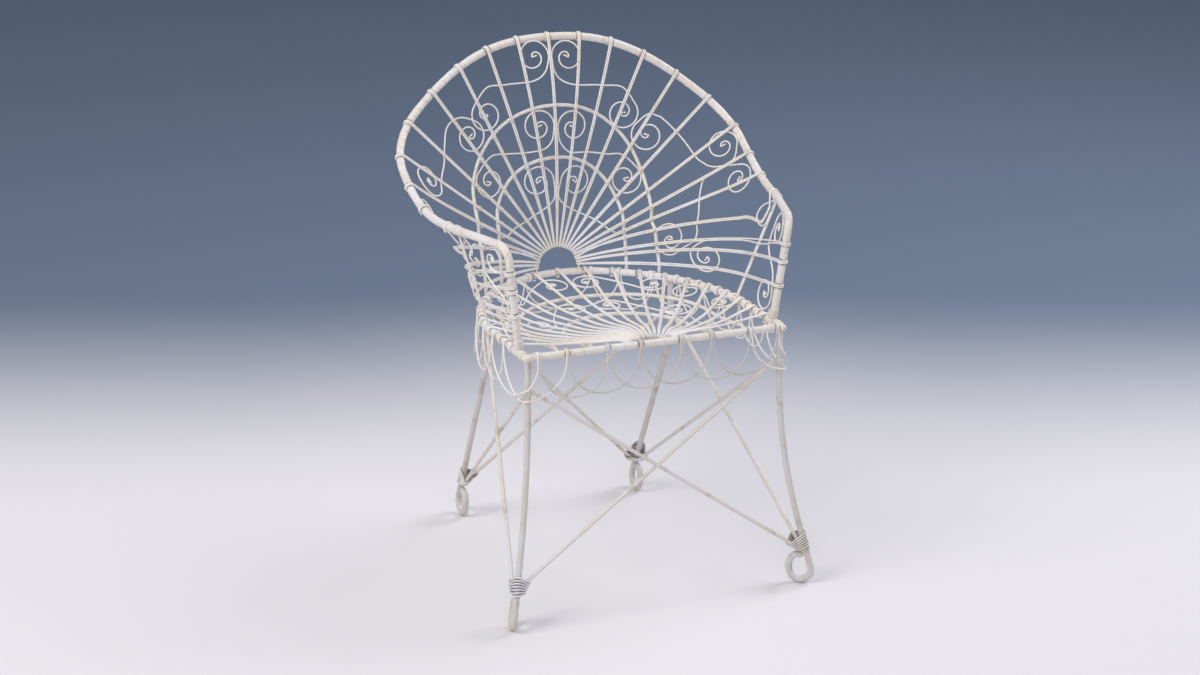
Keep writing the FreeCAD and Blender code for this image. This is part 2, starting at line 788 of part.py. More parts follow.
BRACE = size("brace_rod") / 2
BRACE_SIDE = size("leg_rod") / 2 + BRACE + CLEAR
sides = [("front", "front_left", "front_right"), ("rear", "rear_left", "rear_right"),
         ("left", "front_left", "rear_left"), ("right", "front_right", "rear_right")]
braces = {}
for side, one, two in sides:
    across = legs[two].top - legs[one].top
    across = unit(Vec(across.x, across.y, 0))
    beside = Vec(-across.y, across.x, 0)
    for low, high, hand in ((one, two, 1), (two, one, -1)):
        start = legs[low].axis(size("brace_low")) + across * (hand * BRACE_SIDE)
        end = legs[high].axis(SEAT_Z - size("brace_drop")) - across * (hand * BRACE_SIDE)
        apart = beside * (hand * (BRACE + CLEAR / 2))
        run = end - start
        brace = doc.addObject("Part::Prism", "brace_%s_from_%s" % (side, low))
        brace.Label = "brace_%s_from_%s" % (side, low)
        brace.Polygon = 8
        brace.setExpression("Circumradius", "Sizes.brace_rod / 2")
        brace.Height = run.Length
        brace.Placement = FreeCAD.Placement(start + apart, FreeCAD.Rotation(Vec(0, 0, 1), run))
        nodes.append(brace)
        braces[(side, low)] = (start + apart, end + apart)

# Hubs of both fans: a half ring on short legs
HUB_ROD = size("hub_rod")
HUB_RING = HUB_R + WIRE


def hub_at(angle):
    p = seat_point(HUB_RING * math.sin(angle))
    out = seat_outward(HUB_RING * math.sin(angle))
    return Vec(p.x, p.y, HUB_Z + HUB_RING * math.cos(angle)) + out * (HUB_ROD / 2 + WIRE / 2 + CLEAR)


ring = [hub_at(math.radians(15 * i)) for i in range(-6, 7)]
foot_z = SEAT_Z + SEAT_ROD + CLEAR
ring = [Vec(ring[0].x, ring[0].y, foot_z)] + ring + [Vec(ring[-1].x, ring[-1].y, foot_z)]
keep("back_hub", wire_solid(ring, HUB_ROD, Vec(0, 1, 0), 6))

SEAT_RING = SEAT_HUB_R + WIRE
seat_ring_z = SEAT_TOP - WIRE / 2 - HUB_ROD / 2 - CLEAR
ring = [SEAT_HUB + Vec(SEAT_RING * math.sin(a), SEAT_RING * math.cos(a), seat_ring_z)
        for a in [math.radians(15 * i) for i in range(-6, 7)]]
front_face = FRONT_Y + size("front_rod") + CLEAR
ring = [Vec(ring[0].x, front_face, seat_ring_z)] + ring + [Vec(ring[-1].x, front_face, seat_ring_z)]
keep("seat_hub", wire_solid(ring, HUB_ROD, Vec(0, 0, 1), 6))

# Fan of the back
keep("back_spokes_centre", [back_spoke(k) for k in (-1, 0, 1)])
keep("back_spokes_right", [back_spoke(k) for k in range(2, 9)])
keep("back_spokes_left", [back_spoke(-k) for k in range(2, 9)])
keep("low_spokes_right", [back_spoke(k) for k in range(9, 13)])
keep("low_spokes_left", [back_spoke(-k) for k in range(9, 13)])
keep("back_hoop_outer", back_hoop(size("outer_hoop_half"), size("outer_hoop_spring")))
keep("back_hoop_inner", back_hoop(size("inner_hoop_half"), size("inner_hoop_spring")))

# Scrolls of the back, as (spoke, share along it, hand) for their spirals
SCROLLS = {
    "crown_scroll_right": (
        [(0.6, 0.905, -1), (3.12, 0.706, -1)],
        [(0.36, 0.79), (1.2, 0.778), (2.52, 0.805)], LAYER_ONE),
    "crown_scroll_left": (
        [(-0.65, 0.905, 1), (-2.84, 0.745, 1)],
        [(-0.55, 0.8), (-1.35, 0.802), (-2.41, 0.842)], LAYER_ONE),
    "middle_scroll_right": (
        [(0.9, 0.571, -1), (4.64, 0.433, -1)],
        [(1.07, 0.446), (2.4, 0.476), (3.87, 0.524)], LAYER_ONE),
    "middle_scroll_left": (
        [(-0.82, 0.572, 1), (-4.22, 0.452, 1)],
        [(-1.24, 0.45), (-2.4, 0.5), (-3.63, 0.559)], LAYER_ONE),
    "inner_scroll_right": (
        [(1.62, 0.306, -1)],
        [(0.8, 0.198), (2.7, 0.165), (4.72, 0.178), (6.6, 0.215)], LAYER_ONE),
    "inner_scroll_left": (
        [(-1.34, 0.32, 1)],
        [(-0.91, 0.192), (-2.4, 0.162), (-3.85, 0.17), (-6.9, 0.238)], LAYER_ONE),
    "low_scroll_right": (
        [(11.4, 0.467, 1)],
        [(10.53, 0.426), (9.94, 0.472)], LAYER_ONE),
    "low_scroll_left": (
        [(-11.4, 0.467, -1)],
        [(-10.53, 0.426), (-9.94, 0.472)], LAYER_ONE),
    "shoulder_scroll_right": (
        [(4.27, 0.672, 1), (7.71, 0.872, -1)],
        [(4.83, 0.772), (5.73, 0.757), (6.5, 0.785)], LAYER_ONE),
    "shoulder_scroll_left": (
        [(-3.92, 0.7, -1), (-6.34, 0.8, -1)],
        [(-4.7, 0.782), (-5.3, 0.735), (-5.74, 0.706)], LAYER_ONE),
    "side_scroll_right": (
        [(6.28, 0.882, 1), (9.68, 0.385, -1)],
        [(6.95, 0.8), (7.05, 0.729), (7.86, 0.625), (9.2, 0.49)], LAYER_TWO),
    "side_scroll_left": (
        [(-7.9, 0.87, -1), (-9.68, 0.385, 1)],
        [(-8.2, 0.72), (-9.1, 0.52)], LAYER_ONE),
}
for label, (ends, via, layer) in SCROLLS.items():
    keep(label, back_scroll(ends, via, layer))


# Arm panel between strut and post, as (share forward, share of height).
def panel(u, w):
    p = mix(mix(STRUT_FOOT, STRUT_TOP, w), mix(POST_FOOT, POST_TOP, w), u)
    return p + unit(strut_run.cross(POST_FOOT - STRUT_FOOT)) * size("panel_layer")


def panel_slopes(u, w):
    d = 0.02
    across = (panel(u + d, w) - panel(u - d, w)) * (0.5 / d)
    return across, (panel(u, w + d) - panel(u, w - d)) * (0.5 / d)


arm_ends = [(0.6, 0.8, -1), (0.68, 0.185, -1)]
arm_path = scroll_path(panel, panel_slopes, arm_ends, [(0.4, 0.6), (0.76, 0.42)], size("scroll_radius"))
keep("arm_scroll_right", wire_solid(arm_path, SCROLL, Vec(1, 0, 0)))
keep("arm_scroll_left", wire_solid(flip(arm_path), SCROLL, Vec(1, 0, 0)))

# Seat
keep("seat_spokes_centre", [seat_spoke(j) for j in (-1, 0, 1)])
keep("seat_spokes_right", [seat_spoke(j) for j in range(2, SEAT_SPOKES + 1)])
keep("seat_spokes_left", [seat_spoke(-j) for j in range(2, SEAT_SPOKES + 1)])
keep("seat_hoop_outer", seat_hoop(size("seat_outer_half"), size("seat_outer_reach")))
keep("seat_hoop_inner", seat_hoop(size("seat_inner_half"), size("seat_inner_reach")))

# Scrolls of the seat, as (spoke, share between outer hoop and rim)
SEAT_SCROLLS = [[(0.73, 0.47), (3.5, 0.49)], [(5.1, 0.45), (7.2, 0.54)]]
for side, hand in (("right", 1), ("left", -1)):
    loops = []
    for pair in SEAT_SCROLLS:
        loops.append(seat_scroll([(hand * j, seat_between(j, share), hand) for j, share in pair]))
    keep("seat_scrolls_" + side, loops)

# Skirt: the front and side loops are one chain, hooked side by side
FRONT_TIES = (-0.91, -0.69, -0.38, -0.125, 0.19, 0.43, 0.735, 0.955)
pitch = size("seat_spoke_pitch")
side_ties = [hem_station(pitch * (i + 0.5)) for i in range(3, 10)]
back_ties = [-pitch * 3.5, -109.0, -60.0, 60.0, 109.0, pitch * 3.5]
chain = [-t for t in side_ties] + [SEAT_HALF * share for share in FRONT_TIES] + side_ties[::-1]
turns = [SEAT_HALF, SEAT_HALF + CORNER / 2, SEAT_HALF + CORNER]
turns = [-t for t in turns[::-1]] + turns
loops = skirt(hem_point, hem_outward, chain, max(SEAT_ROD, size("front_rod") / 2), turns, True)
on_side = len(side_ties) + 1
keep("skirt_left", loops[:on_side])
keep("skirt_front", loops[on_side:-on_side])
keep("skirt_right", loops[-on_side:])
keep("skirt_back", skirt(seat_point, seat_outward, back_ties, SEAT_ROD, [], True))


# Bindings: one wire wound round three rods, a rounded triangle each turn.
def binding(rods, low, turns, wire):
    pitch = size("binding_pitch")
    points = []
    for turn in range(turns):
        for n in range(3):
            z = low + pitch * (turn + n / 3)
            centres = [rod[0](z) for rod in rods]
            here, after, before = centres[n], centres[(n + 1) % 3], centres[n - 1]
            radius = rods[n][1] + wire / 2 + CLEAR
            first = unit(here - before).cross(Vec(0, 0, 1))
            last = unit(after - here).cross(Vec(0, 0, 1))
            if first.dot(here - (centres[0] + centres[1] + centres[2]) * (1 / 3)) < 0:
                first = first * -1
                last = last * -1
            spread = first.getAngle(last)
            aside = unit(last - first * math.cos(spread))
            for share in (1 / 6, 1 / 2, 5 / 6):
                a = spread * share
                reach = radius / math.cos(spread / 6)
                station = here + first * (reach * math.cos(a)) + aside * (reach * math.sin(a))
                points.append(Vec(station.x, station.y, z + pitch * (share - 0.5) / 3))
    return points


# Least gap between turns of a winding, over points along its runs.
def least_gap(points, wire, turn):
    fine = [mix(a, b, n / 4) for a, b in zip(points, points[1:]) for n in range(4)]
    apart = turn * 2
    gaps = [(fine[i] - fine[j]).Length for i in range(len(fine)) for j in range(i + apart, len(fine))]
    return min(gaps) - wire


def along(ends):
    return lambda z: mix(ends[0], ends[1], (z - ends[0].z) / (ends[1].z - ends[0].z))


feet = {"front_left": ("front", "left"), "front_right": ("right", "front"),
        "rear_left": ("left", "rear"), "rear_right": ("rear", "right")}
for name, pair in feet.items():
    rods = [(legs[name].axis, size("leg_rod") / 2)]
    for side in pair:
        ends = braces[(side, name)]
        slope = (ends[1] - ends[0]).getAngle(Vec(0, 0, 1))
        rods.append((along(ends), BRACE / math.cos(slope)))
    turns = min(int(size("binding_turns")), 24)
    strand = binding(rods, size("brace_low") + 3.5, turns, size("binding_wire"))
    print("foot_binding_%s least gap %.2f" % (name, least_gap(strand, size("binding_wire"), 9)))
    keep("foot_binding_" + name, wire_solid(strand, size("binding_wire"), Vec(0, 0, 1)))

doc.recompute()
for node in nodes:
    shape = node.Shape
    if "Invalid" in node.State or "Error" in node.State or shape.isNull() or not shape.isValid():
        raise RuntimeError(node.Label + " is not sound")
os.makedirs("parts", exist_ok=True)
for node in nodes:
    node.Shape.exportStep("parts/%s.step" % node.Label)
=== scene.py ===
import math

import bpy
from mathutils import Matrix, Vector, kdtree, noise


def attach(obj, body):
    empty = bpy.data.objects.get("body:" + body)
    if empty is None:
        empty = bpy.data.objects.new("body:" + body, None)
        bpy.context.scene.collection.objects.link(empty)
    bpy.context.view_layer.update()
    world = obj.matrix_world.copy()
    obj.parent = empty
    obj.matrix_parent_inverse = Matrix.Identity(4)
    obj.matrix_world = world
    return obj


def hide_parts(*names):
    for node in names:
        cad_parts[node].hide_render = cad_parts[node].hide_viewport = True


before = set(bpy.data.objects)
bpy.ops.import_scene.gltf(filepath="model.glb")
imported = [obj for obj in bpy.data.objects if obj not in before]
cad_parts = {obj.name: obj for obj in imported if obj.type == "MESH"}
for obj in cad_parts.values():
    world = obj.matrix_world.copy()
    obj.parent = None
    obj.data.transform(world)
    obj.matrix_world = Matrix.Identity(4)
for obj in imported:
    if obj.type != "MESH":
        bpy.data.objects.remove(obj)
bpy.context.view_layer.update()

bl_info = {
    "name": "Wirework Garden Armchair",
    "version": (1, 0, 0),
    "blender": (4, 5, 0),
    "location": "View3D > Sidebar > Garden Chair",
    "description": "Painted wire armchair with fanned back, scrolls and a looped skirt",
    "category": "Add Mesh",
}

# Plan of the chair in millimetres. Front is -Y, right is +X, the floor is 0.
CLEAR = 0.3

# Seat rim: a round back, two side arcs and straight sides, with a front bar.
SEAT_Z = 440.0
BACK_Y = 208.06
SEAT_HALF = 220.0
STRAIGHT = 160.0
ARCH = 277.0
BACK_R = 150.0
SIDE_R = (SEAT_HALF ** 2 + (ARCH - BACK_R) ** 2 - BACK_R ** 2) / (2 * (SEAT_HALF - BACK_R))
SEAT_ROD = 5.5
FRONT_Y = BACK_Y - ARCH - STRAIGHT
BAR_Y = FRONT_Y + SEAT_ROD
BAR_BACK = FRONT_Y + 2 * SEAT_ROD + CLEAR
TURN = math.atan2(SIDE_R - SEAT_HALF, ARCH - BACK_R)
BACK_ARC = BACK_R * TURN
SIDE_ARC = SIDE_R * (math.pi / 2 - TURN)
SEAT_LENGTH = BACK_ARC + SIDE_ARC + STRAIGHT
CORNER = 8.0

# Back rim: crown, shoulders and arms, and where its posts and struts stand.
BACK_ROD = 6.2
POST_S = SEAT_LENGTH - 37.0
STRUT_S = 373.0
STRUT_WIRE = 2.8
ARM_HEIGHT = 175.0
ARM_Z = SEAT_Z + ARM_HEIGHT
ARM_BEND = 24.0
CROWN = 404.0
RIM_R = 600.0
CORNER_R = 95.0
RIM_HALF = 304.0
ARM_R = 750.0
ARM_S = 560.0
CROWN_Y = BACK_Y + 46.0
CORNER_X = RIM_HALF - CORNER_R
CORNER_Y = CROWN_Y - RIM_R + math.sqrt((RIM_R - CORNER_R) ** 2 - CORNER_X ** 2)
CORNER_TURN = math.asin(CORNER_X / (RIM_R - CORNER_R))
CROWN_ARC = RIM_R * CORNER_TURN
CORNER_ARC = CORNER_R * (math.pi / 2 - CORNER_TURN)

# Fans of the back and the seat: doubled wires from a half ring to the rim.
WIRE = 2.4
PAIR = 1.45
TIE_HALF = PAIR + WIRE / 2 + 0.6
HUB_STEP = math.radians(7.2)
HUB_R = (2 * PAIR + WIRE + CLEAR) / HUB_STEP
HUB_Z = SEAT_Z + 10.0
HUB_RING = 38.5
TIE_PITCH = 56.5
SPOKES = 12
NINTH_S = 534.0
SEAT_SPOKES = 10
SEAT_PITCH = 48.5
SEAT_STEP = math.radians(8.3)
SEAT_HUB_R = (2 * PAIR + WIRE + CLEAR) / SEAT_STEP
SEAT_RING = 34.0
SEAT_RING_DROP = 8.0
SEAT_HUB = Vector((0, FRONT_Y + 12.0, 0))
SEAT_TOP = SEAT_Z + SEAT_ROD + WIRE / 2 + CLEAR
SEAT_SAG = 21.0
SEAT_KNOTS = (0.0, 0.3, 0.62, 1.0)

# Hoops, as half width and reach, and scrolls, each on a layer of its own.
OUTER_SEAT_HOOP = (161.0, 323.0)
INNER_SEAT_HOOP = (104.0, 224.0)
OUTER_HOOP = (155.0, 137.0)
INNER_HOOP = (111.0, 92.0)
HOOP_ROD = 6.0
HOOP_DRAWN = HOOP_ROD - 0.6
HOOP_LAYER = (WIRE + HOOP_ROD) / 2 + CLEAR
SCROLL = 2.4
BACK_CURL = 27.0
SEAT_CURL = 24.5
LAYER_ONE = (WIRE + SCROLL) / 2 + CLEAR
LAYER_TWO = LAYER_ONE + 0.8 * SCROLL + CLEAR

# Legs and braces.
LEG_ROD = 10.0
ANKLE_Z = 57.0
FOOT_LOOP = 18.0
BRACE_LOW = 61.0
BRACE_HIGH = 384.0
BRACE_ROD = 5.0
BRACE_DRAWN = BRACE_ROD + 1.0
SIDES = (("front", "front_left", "front_right"), ("rear", "rear_left", "rear_right"),
         ("left", "front_left", "rear_left"), ("right", "front_right", "rear_right"))

# Wraps of wire round rods, and the half width of a skirt tie.
WRAP_WIRE = 2.0
WRAP_LIFT = 1.0
THIN_WRAP = 1.6
HEM_TIE_HALF = 3.6

# Photo's camera, and the level direction in which it looks.
CAMERA_TURN = (-22.122, 17.516, 0.04)
CAMERA_PLACE = (-1.5087, -3.908 + BACK_Y / 1000, 1.6437)
PHOTO_FOCUS = 2518.7
PHOTO_WIDTH = 1200
SENSOR = 36.0
AWAY_X, AWAY_Y = 0.3766, 0.9264


def unit(vector):
    return vector.normalized()


def mix(a, b, share):
    return a + (b - a) * share


def spread(low, high, count):
    return [mix(low, high, i / (count - 1)) for i in range(count)]


def flip(points):
    return [Vector((-p.x, p.y, p.z)) for p in points]


def up(z):
    return Vector((0, 0, z))


def ease(share):
    share = min(max(share, 0.0), 1.0)
    return share * share * (3 - 2 * share)


# Rims: s runs along them from the middle of the back, to the right above 0.
def seat_point(s):
    t = abs(s)
    if t <= BACK_ARC:
        a = t / BACK_R
        x, y = BACK_R * math.sin(a), BACK_R * (math.cos(a) - 1)
    elif t <= BACK_ARC + SIDE_ARC:
        a = TURN + (t - BACK_ARC) / SIDE_R
        x, y = SEAT_HALF - SIDE_R + SIDE_R * math.sin(a), -ARCH + SIDE_R * math.cos(a)
    else:
        x, y = SEAT_HALF, -ARCH - (t - BACK_ARC - SIDE_ARC)
    return Vector((math.copysign(x, s) if s else 0.0, BACK_Y + y, SEAT_Z))


def seat_heading(s):
    return unit(seat_point(s + 1) - seat_point(s - 1))


def seat_outward(s):
    run = seat_heading(s)
    return Vector((-run.y, run.x, 0))


def rim_point(s):
    t = abs(s)
    if t <= CROWN_ARC:
        a = t / RIM_R
        x, y = RIM_R * math.sin(a), CROWN_Y - RIM_R + RIM_R * math.cos(a)
    elif t <= CROWN_ARC + CORNER_ARC:
        a = CORNER_TURN + (t - CROWN_ARC) / CORNER_R
        x, y = CORNER_X + CORNER_R * math.sin(a), CORNER_Y + CORNER_R * math.cos(a)
    else:
        a = (t - CROWN_ARC - CORNER_ARC) / ARM_R
        x, y = RIM_HALF - ARM_R + ARM_R * math.cos(a), CORNER_Y - ARM_R * math.sin(a)
    fall = (1 - min(t / ARM_S, 1.0) ** 2.5) ** 3.5
    return Vector((math.copysign(x, s) if s else 0.0, y, ARM_Z + (CROWN - ARM_HEIGHT) * fall))


def rim_heading(s):
    return unit(rim_point(s + 1) - rim_point(s - 1))


POST_FOOT = seat_point(POST_S) + up(SEAT_ROD + CLEAR)
POST_TOP = Vector((POST_FOOT.x + 20.0, POST_FOOT.y - 12.0, ARM_Z))
STRUT_FOOT = seat_point(STRUT_S) + up(SEAT_ROD)
STRUT_TOP = rim_point(ARM_S)


def on_post(z):
    return mix(POST_FOOT, POST_TOP, (z - POST_FOOT.z) / (POST_TOP.z - POST_FOOT.z))


# Fan of the back: k counts spokes from the middle, f runs from hub to tip. The
# low spokes end on the posts, reach round the seat and rise late or early. The
# wires of one pair have come apart.
SPREAD_SPOKE = 10
POST_TIES = {10: 0.754, 11: 0.583, 12: 0.354}
REACH = {9: 385.0 / 508, 10: 1.0, 11: 1.0, 12: 1.0}
LIFT = {9: 0.8, 10: 1.0, 11: 1.0, 12: 1.5}


def fan_tip(k):
    if k <= 8:
        return rim_point(k * TIE_PITCH)
    if k == 9:
        return mix(STRUT_FOOT, STRUT_TOP, 0.80)
    return on_post(SEAT_Z + ARM_HEIGHT * POST_TIES[k])


def stepped(k, value):
    low = int(math.floor(k))
    if k - low < 1e-9 or low >= SPOKES:
        return value(min(low, SPOKES))
    return mix(value(low), value(low + 1), k - low)


def fan(k, f):
    if k < 0:
        return flip([fan(-k, f)])[0]
    angle = k * HUB_STEP
    near = HUB_R * math.sin(angle)
    hub = seat_point(near)
    hub.z = HUB_Z + HUB_R * math.cos(angle)
    tip = stepped(k, fan_tip) if k > 8 else fan_tip(k)
    lift = stepped(k, lambda n: LIFT.get(n, 1.0))
    p = mix(hub, tip, f)
    p.z = hub.z + (tip.z - hub.z) * max(f, 0.0) ** lift
    bow = min(max((k - 6.5) / 3, 0.0), 1.0)
    if bow > 0:
        far = POST_S * stepped(k, lambda n: REACH.get(n, n * TIE_PITCH / 690.0))
        here = near + (far - near) * f
        p += (seat_point(here) - mix(seat_point(near), seat_point(far), f)) * bow
        p += seat_outward(here) * (bow * 0.26 * (p.z - SEAT_Z) * 4 * f * (1 - f))
    if k < 4:
        upright = math.cos(k / 4 * math.pi / 2) ** 2
        curved = hub.y + (tip.y - hub.y) * max(f, 0.0) ** 3.2
        p.y = p.y * (1 - upright) + curved * upright
    return p


def slopes_of(surface):
    def slopes(u, v):
        d = 0.02
        across = (surface(u + d, v) - surface(u - d, v)) * (0.5 / d)
        return across, (surface(u, v + d) - surface(u, v - d)) * (0.5 / d)
    return slopes


fan_slopes = slopes_of(fan)


def fan_normal(k, f):
    across, along = fan_slopes(min(max(k, -11.97), 11.97), min(max(f, 0.03), 0.97))
    return unit(along.cross(across))


def tip_rod(k):
    n = abs(k)
    if n <= 8:
        return rim_point(k * TIE_PITCH), rim_heading(k * TIE_PITCH), BACK_ROD
    side = 1 if k > 0 else -1
    tip = fan_tip(n)
    if n == 9:
        axis, radius = unit(STRUT_TOP - STRUT_FOOT), STRUT_WIRE + CLEAR / 2
    else:
        axis, radius = unit(POST_TOP - POST_FOOT), BACK_ROD
    return Vector((side * tip.x, tip.y, tip.z)), Vector((side * axis.x, axis.y, axis.z)), radius


def lean(n):
    return tip_rod(max(min(n, SPOKES), -SPOKES))[2] + WIRE / 2 + CLEAR


def spoke_point(k, f):
    if f < 0:
        here = spoke_point(k, 0.0)
        return here + (here - spoke_point(k, 0.04)) * (-f / 0.04)
    return fan(k, f) - fan_normal(k, 0.97) * (lean(k) * f)


def hub_share(k):
    return (HUB_RING - HUB_R) / (fan(k, 1.0) - fan(k, 0.0)).length


def sheet_point(k, f, layer):
    low = int(math.floor(k))
    beside = ((low, 1 - (k - low)), (low + 1, k - low))
    sink = sum(share * lean(n) * f for n, share in beside if share > 0)
    return fan(k, f) + fan_normal(k, f) * (layer - sink)


# A hook of wire round a rod: from the near side, over `out`, to the far side.
def hook(centre, out, normal, reach, tail, count=9):
    turn = [centre + out * (reach * math.cos(a)) + normal * (reach * math.sin(a))
            for a in spread(-math.pi / 2, math.pi / 2, count)]
    return turn + [centre + normal * reach - out * tail]


# A doubled wire that hooks over a rod and closes in a bight behind it.
def hairpin(low_run, high_run, centre, axis, normal, rod_radius):
    reach = rod_radius + WIRE / 2
    heading = unit(low_run[-1] - low_run[-2])
    step = axis * (PAIR / math.sqrt(1 - heading.dot(axis) ** 2))
    out = unit(axis.cross(normal))
    if out.dot(heading) < 0:
        out = -out
    first = low_run + hook(centre - step, out, normal, reach, 0.6 * reach)
    second = high_run + hook(centre + step, out, normal, reach, 0.6 * reach)
    bight = centre + normal * reach - out * (0.6 * reach + PAIR)
    return first + [mix(bight, first[-1], 0.4), bight, mix(bight, second[-1], 0.4)] + second[::-1]


# Two wires side by side from a hook on the hub ring, closer at the ring.
def pair_runs(places, faces, axis, ring_normal, ring_reach, narrow):
    runs = ([], [])
    last = len(places) - 1
    for i, p in enumerate(places):
        along = unit(places[min(i + 1, last)] - places[max(i - 1, 0)])
        aside = unit(along.cross(faces[i]))
        if aside.dot(axis) < 0:
            aside = -aside
        aside *= PAIR * min(narrow + (1 - narrow) * i / 5, 1.0)
        runs[0].append(p - aside)
        runs[1].append(p + aside)
    inward = unit(places[0] - places[1])
    for run in runs:
        start = hook(run[0] + ring_normal * ring_reach, inward, ring_normal, ring_reach, ring_reach)
        run[:0] = start[:0:-1]
    return runs


def back_spoke(k):
    side = 1 if k > 0 else -1
    stations = [(k, f) for f in spread(hub_share(k), 0.985, 24)]
    centre, axis, radius = tip_rod(k)
    normal = fan_normal(k, 0.97)
    if abs(k) == 9:
        stations = [(k, f) for f in spread(hub_share(k), 0.76, 18)]
        stations += eased([Vector((side * n, f)) for n, f in NINTH_END], 4)
        centre, axis = rim_point(side * NINTH_S), rim_heading(side * NINTH_S)
        radius = BACK_ROD
    normal = unit(normal - axis * normal.dot(axis))
    places = [spoke_point(n, f) if n == k else sheet_point(n, f, 0.0) for n, f in stations]
    faces = [fan_normal(n, f) for n, f in stations]
    low, high = pair_runs(places, faces, axis, fan_normal(k, 0.03), 2.4, 0.45)
    if k == SPREAD_SPOKE:
        loose = low if low[-9].z < high[-9].z else high
        for i, p in enumerate(loose):
            share = (i / (len(loose) - 1) - 0.74) / 0.22
            if 0 < share < 1:
                p.z -= 4.6 * math.sin(math.pi * share) ** 2
    return hairpin(low, high, centre, axis, normal, radius)


# Share along a spoke of the back at which it crosses a hoop.
def hoop_share(k, half, spring):
    low, high = 0.0, 1.0
    for _ in range(40):
        f = (low + high) / 2
        p = fan(k, f)
        rise = p.z - SEAT_Z - spring
        inside = math.hypot(p.x, rise) < half if rise > 0 else abs(p.x) < half
        low, high = (f, high) if inside else (low, f)
    return low


def back_hoop(half, spring):
    sides = []
    for wider in (0.0, 5.0):
        points = [sheet_point(k, hoop_share(k, half + wider * min(k / 5, 1.0), spring), HOOP_LAYER)
                  for k in range(SPOKES + 1)]
        sides.append(points + [Vector((points[-1].x, points[-1].y, SEAT_Z + SEAT_ROD + CLEAR))])
    return eased(flip(sides[1][:0:-1]) + sides[0], 10)


# Points along a smooth line through the given ones.
def eased(points, steps):
    result = []
    last = len(points) - 1
    for i in range(last):
        a, b, c, d = points[max(i - 1, 0)], points[i], points[i + 1], points[min(i + 2, last)]
        for n in range(steps):
            t = n / steps
            result.append((b * 2 + (c - a) * t + (a * 2 - b * 5 + c * 4 - d) * (t * t)
                           + (b * 3 - a - c * 3 + d) * t ** 3) * 0.5)
    return result + [points[-1]]


# A curl that tightens inward and ends in a short straight tail.
def spiral(radius, angle, hand, turns, count):
    stations = []
    for share in spread(0.0, 1.0, count + 1):
        r = radius * (0.56 + 0.44 * math.cos(math.pi * share ** 1.35))
        a = angle + hand * 2 * math.pi * turns * share
        stations.append((r * math.cos(a), r * math.sin(a)))
    x, y = stations[-1]
    return stations + [(x * 0.2, y * 0.2), (x * -1.5, y * -1.5)]


# Station on a surface that lies over a target, seen square to the surface.
def settle(surface, slopes, target, right, rise, station):
    u, v = station
    for _ in range(5):
        gap = target - surface(u, v)
        across, along = slopes(u, v)
        a, b, c, d = across.dot(right), along.dot(right), across.dot(rise), along.dot(rise)
        x, y = gap.dot(right), gap.dot(rise)
        u += (x * d - b * y) / (a * d - b * c)
        v += (a * y - x * c) / (a * d - b * c)
    return Vector((u, v))


# A wire between two spirals, or from one, by way of the given stations. An end
# may say how wide and tall its spiral is and how many turns it has.
def scroll_stations(surface, ends, via, radius, turns=1.6, count=52):
    slopes = slopes_of(surface)
    runs = []
    targets = [via[0] if via else ends[-1][:2], via[-1] if via else ends[0][:2]]
    for (u, v, hand, *more), target in zip(ends, targets):
        wide, tall, coils = more or (1.0, 1.0, turns)
        across, along = slopes(u, v)
        right = unit(across)
        rise = unit(along - right * along.dot(right))
        centre = surface(u, v)
        offset = surface(*target) - centre
        x, y = offset.dot(right), offset.dot(rise)
        start = math.atan2(y, x) + hand * math.acos(min(radius / math.hypot(x, y), 1.0))
        station = Vector((u, v))
        run = []
        for x, y in spiral(radius, start, hand, coils, count)[::-1]:
            goal = centre + right * (x * wide) + rise * (y * tall)
            station = settle(surface, slopes, goal, right, rise, station)
            run.append(station)
        runs.append(run[::-1])
    middle = [Vector(p) for p in via]
    if len(runs) == 1:
        return runs[0][::-1] + eased([runs[0][0]] + middle, 7)[1:]
    shaft = eased([runs[0][0]] + middle + [runs[1][0]], 7)
    return runs[0][::-1] + shaft[1:-1] + runs[1]


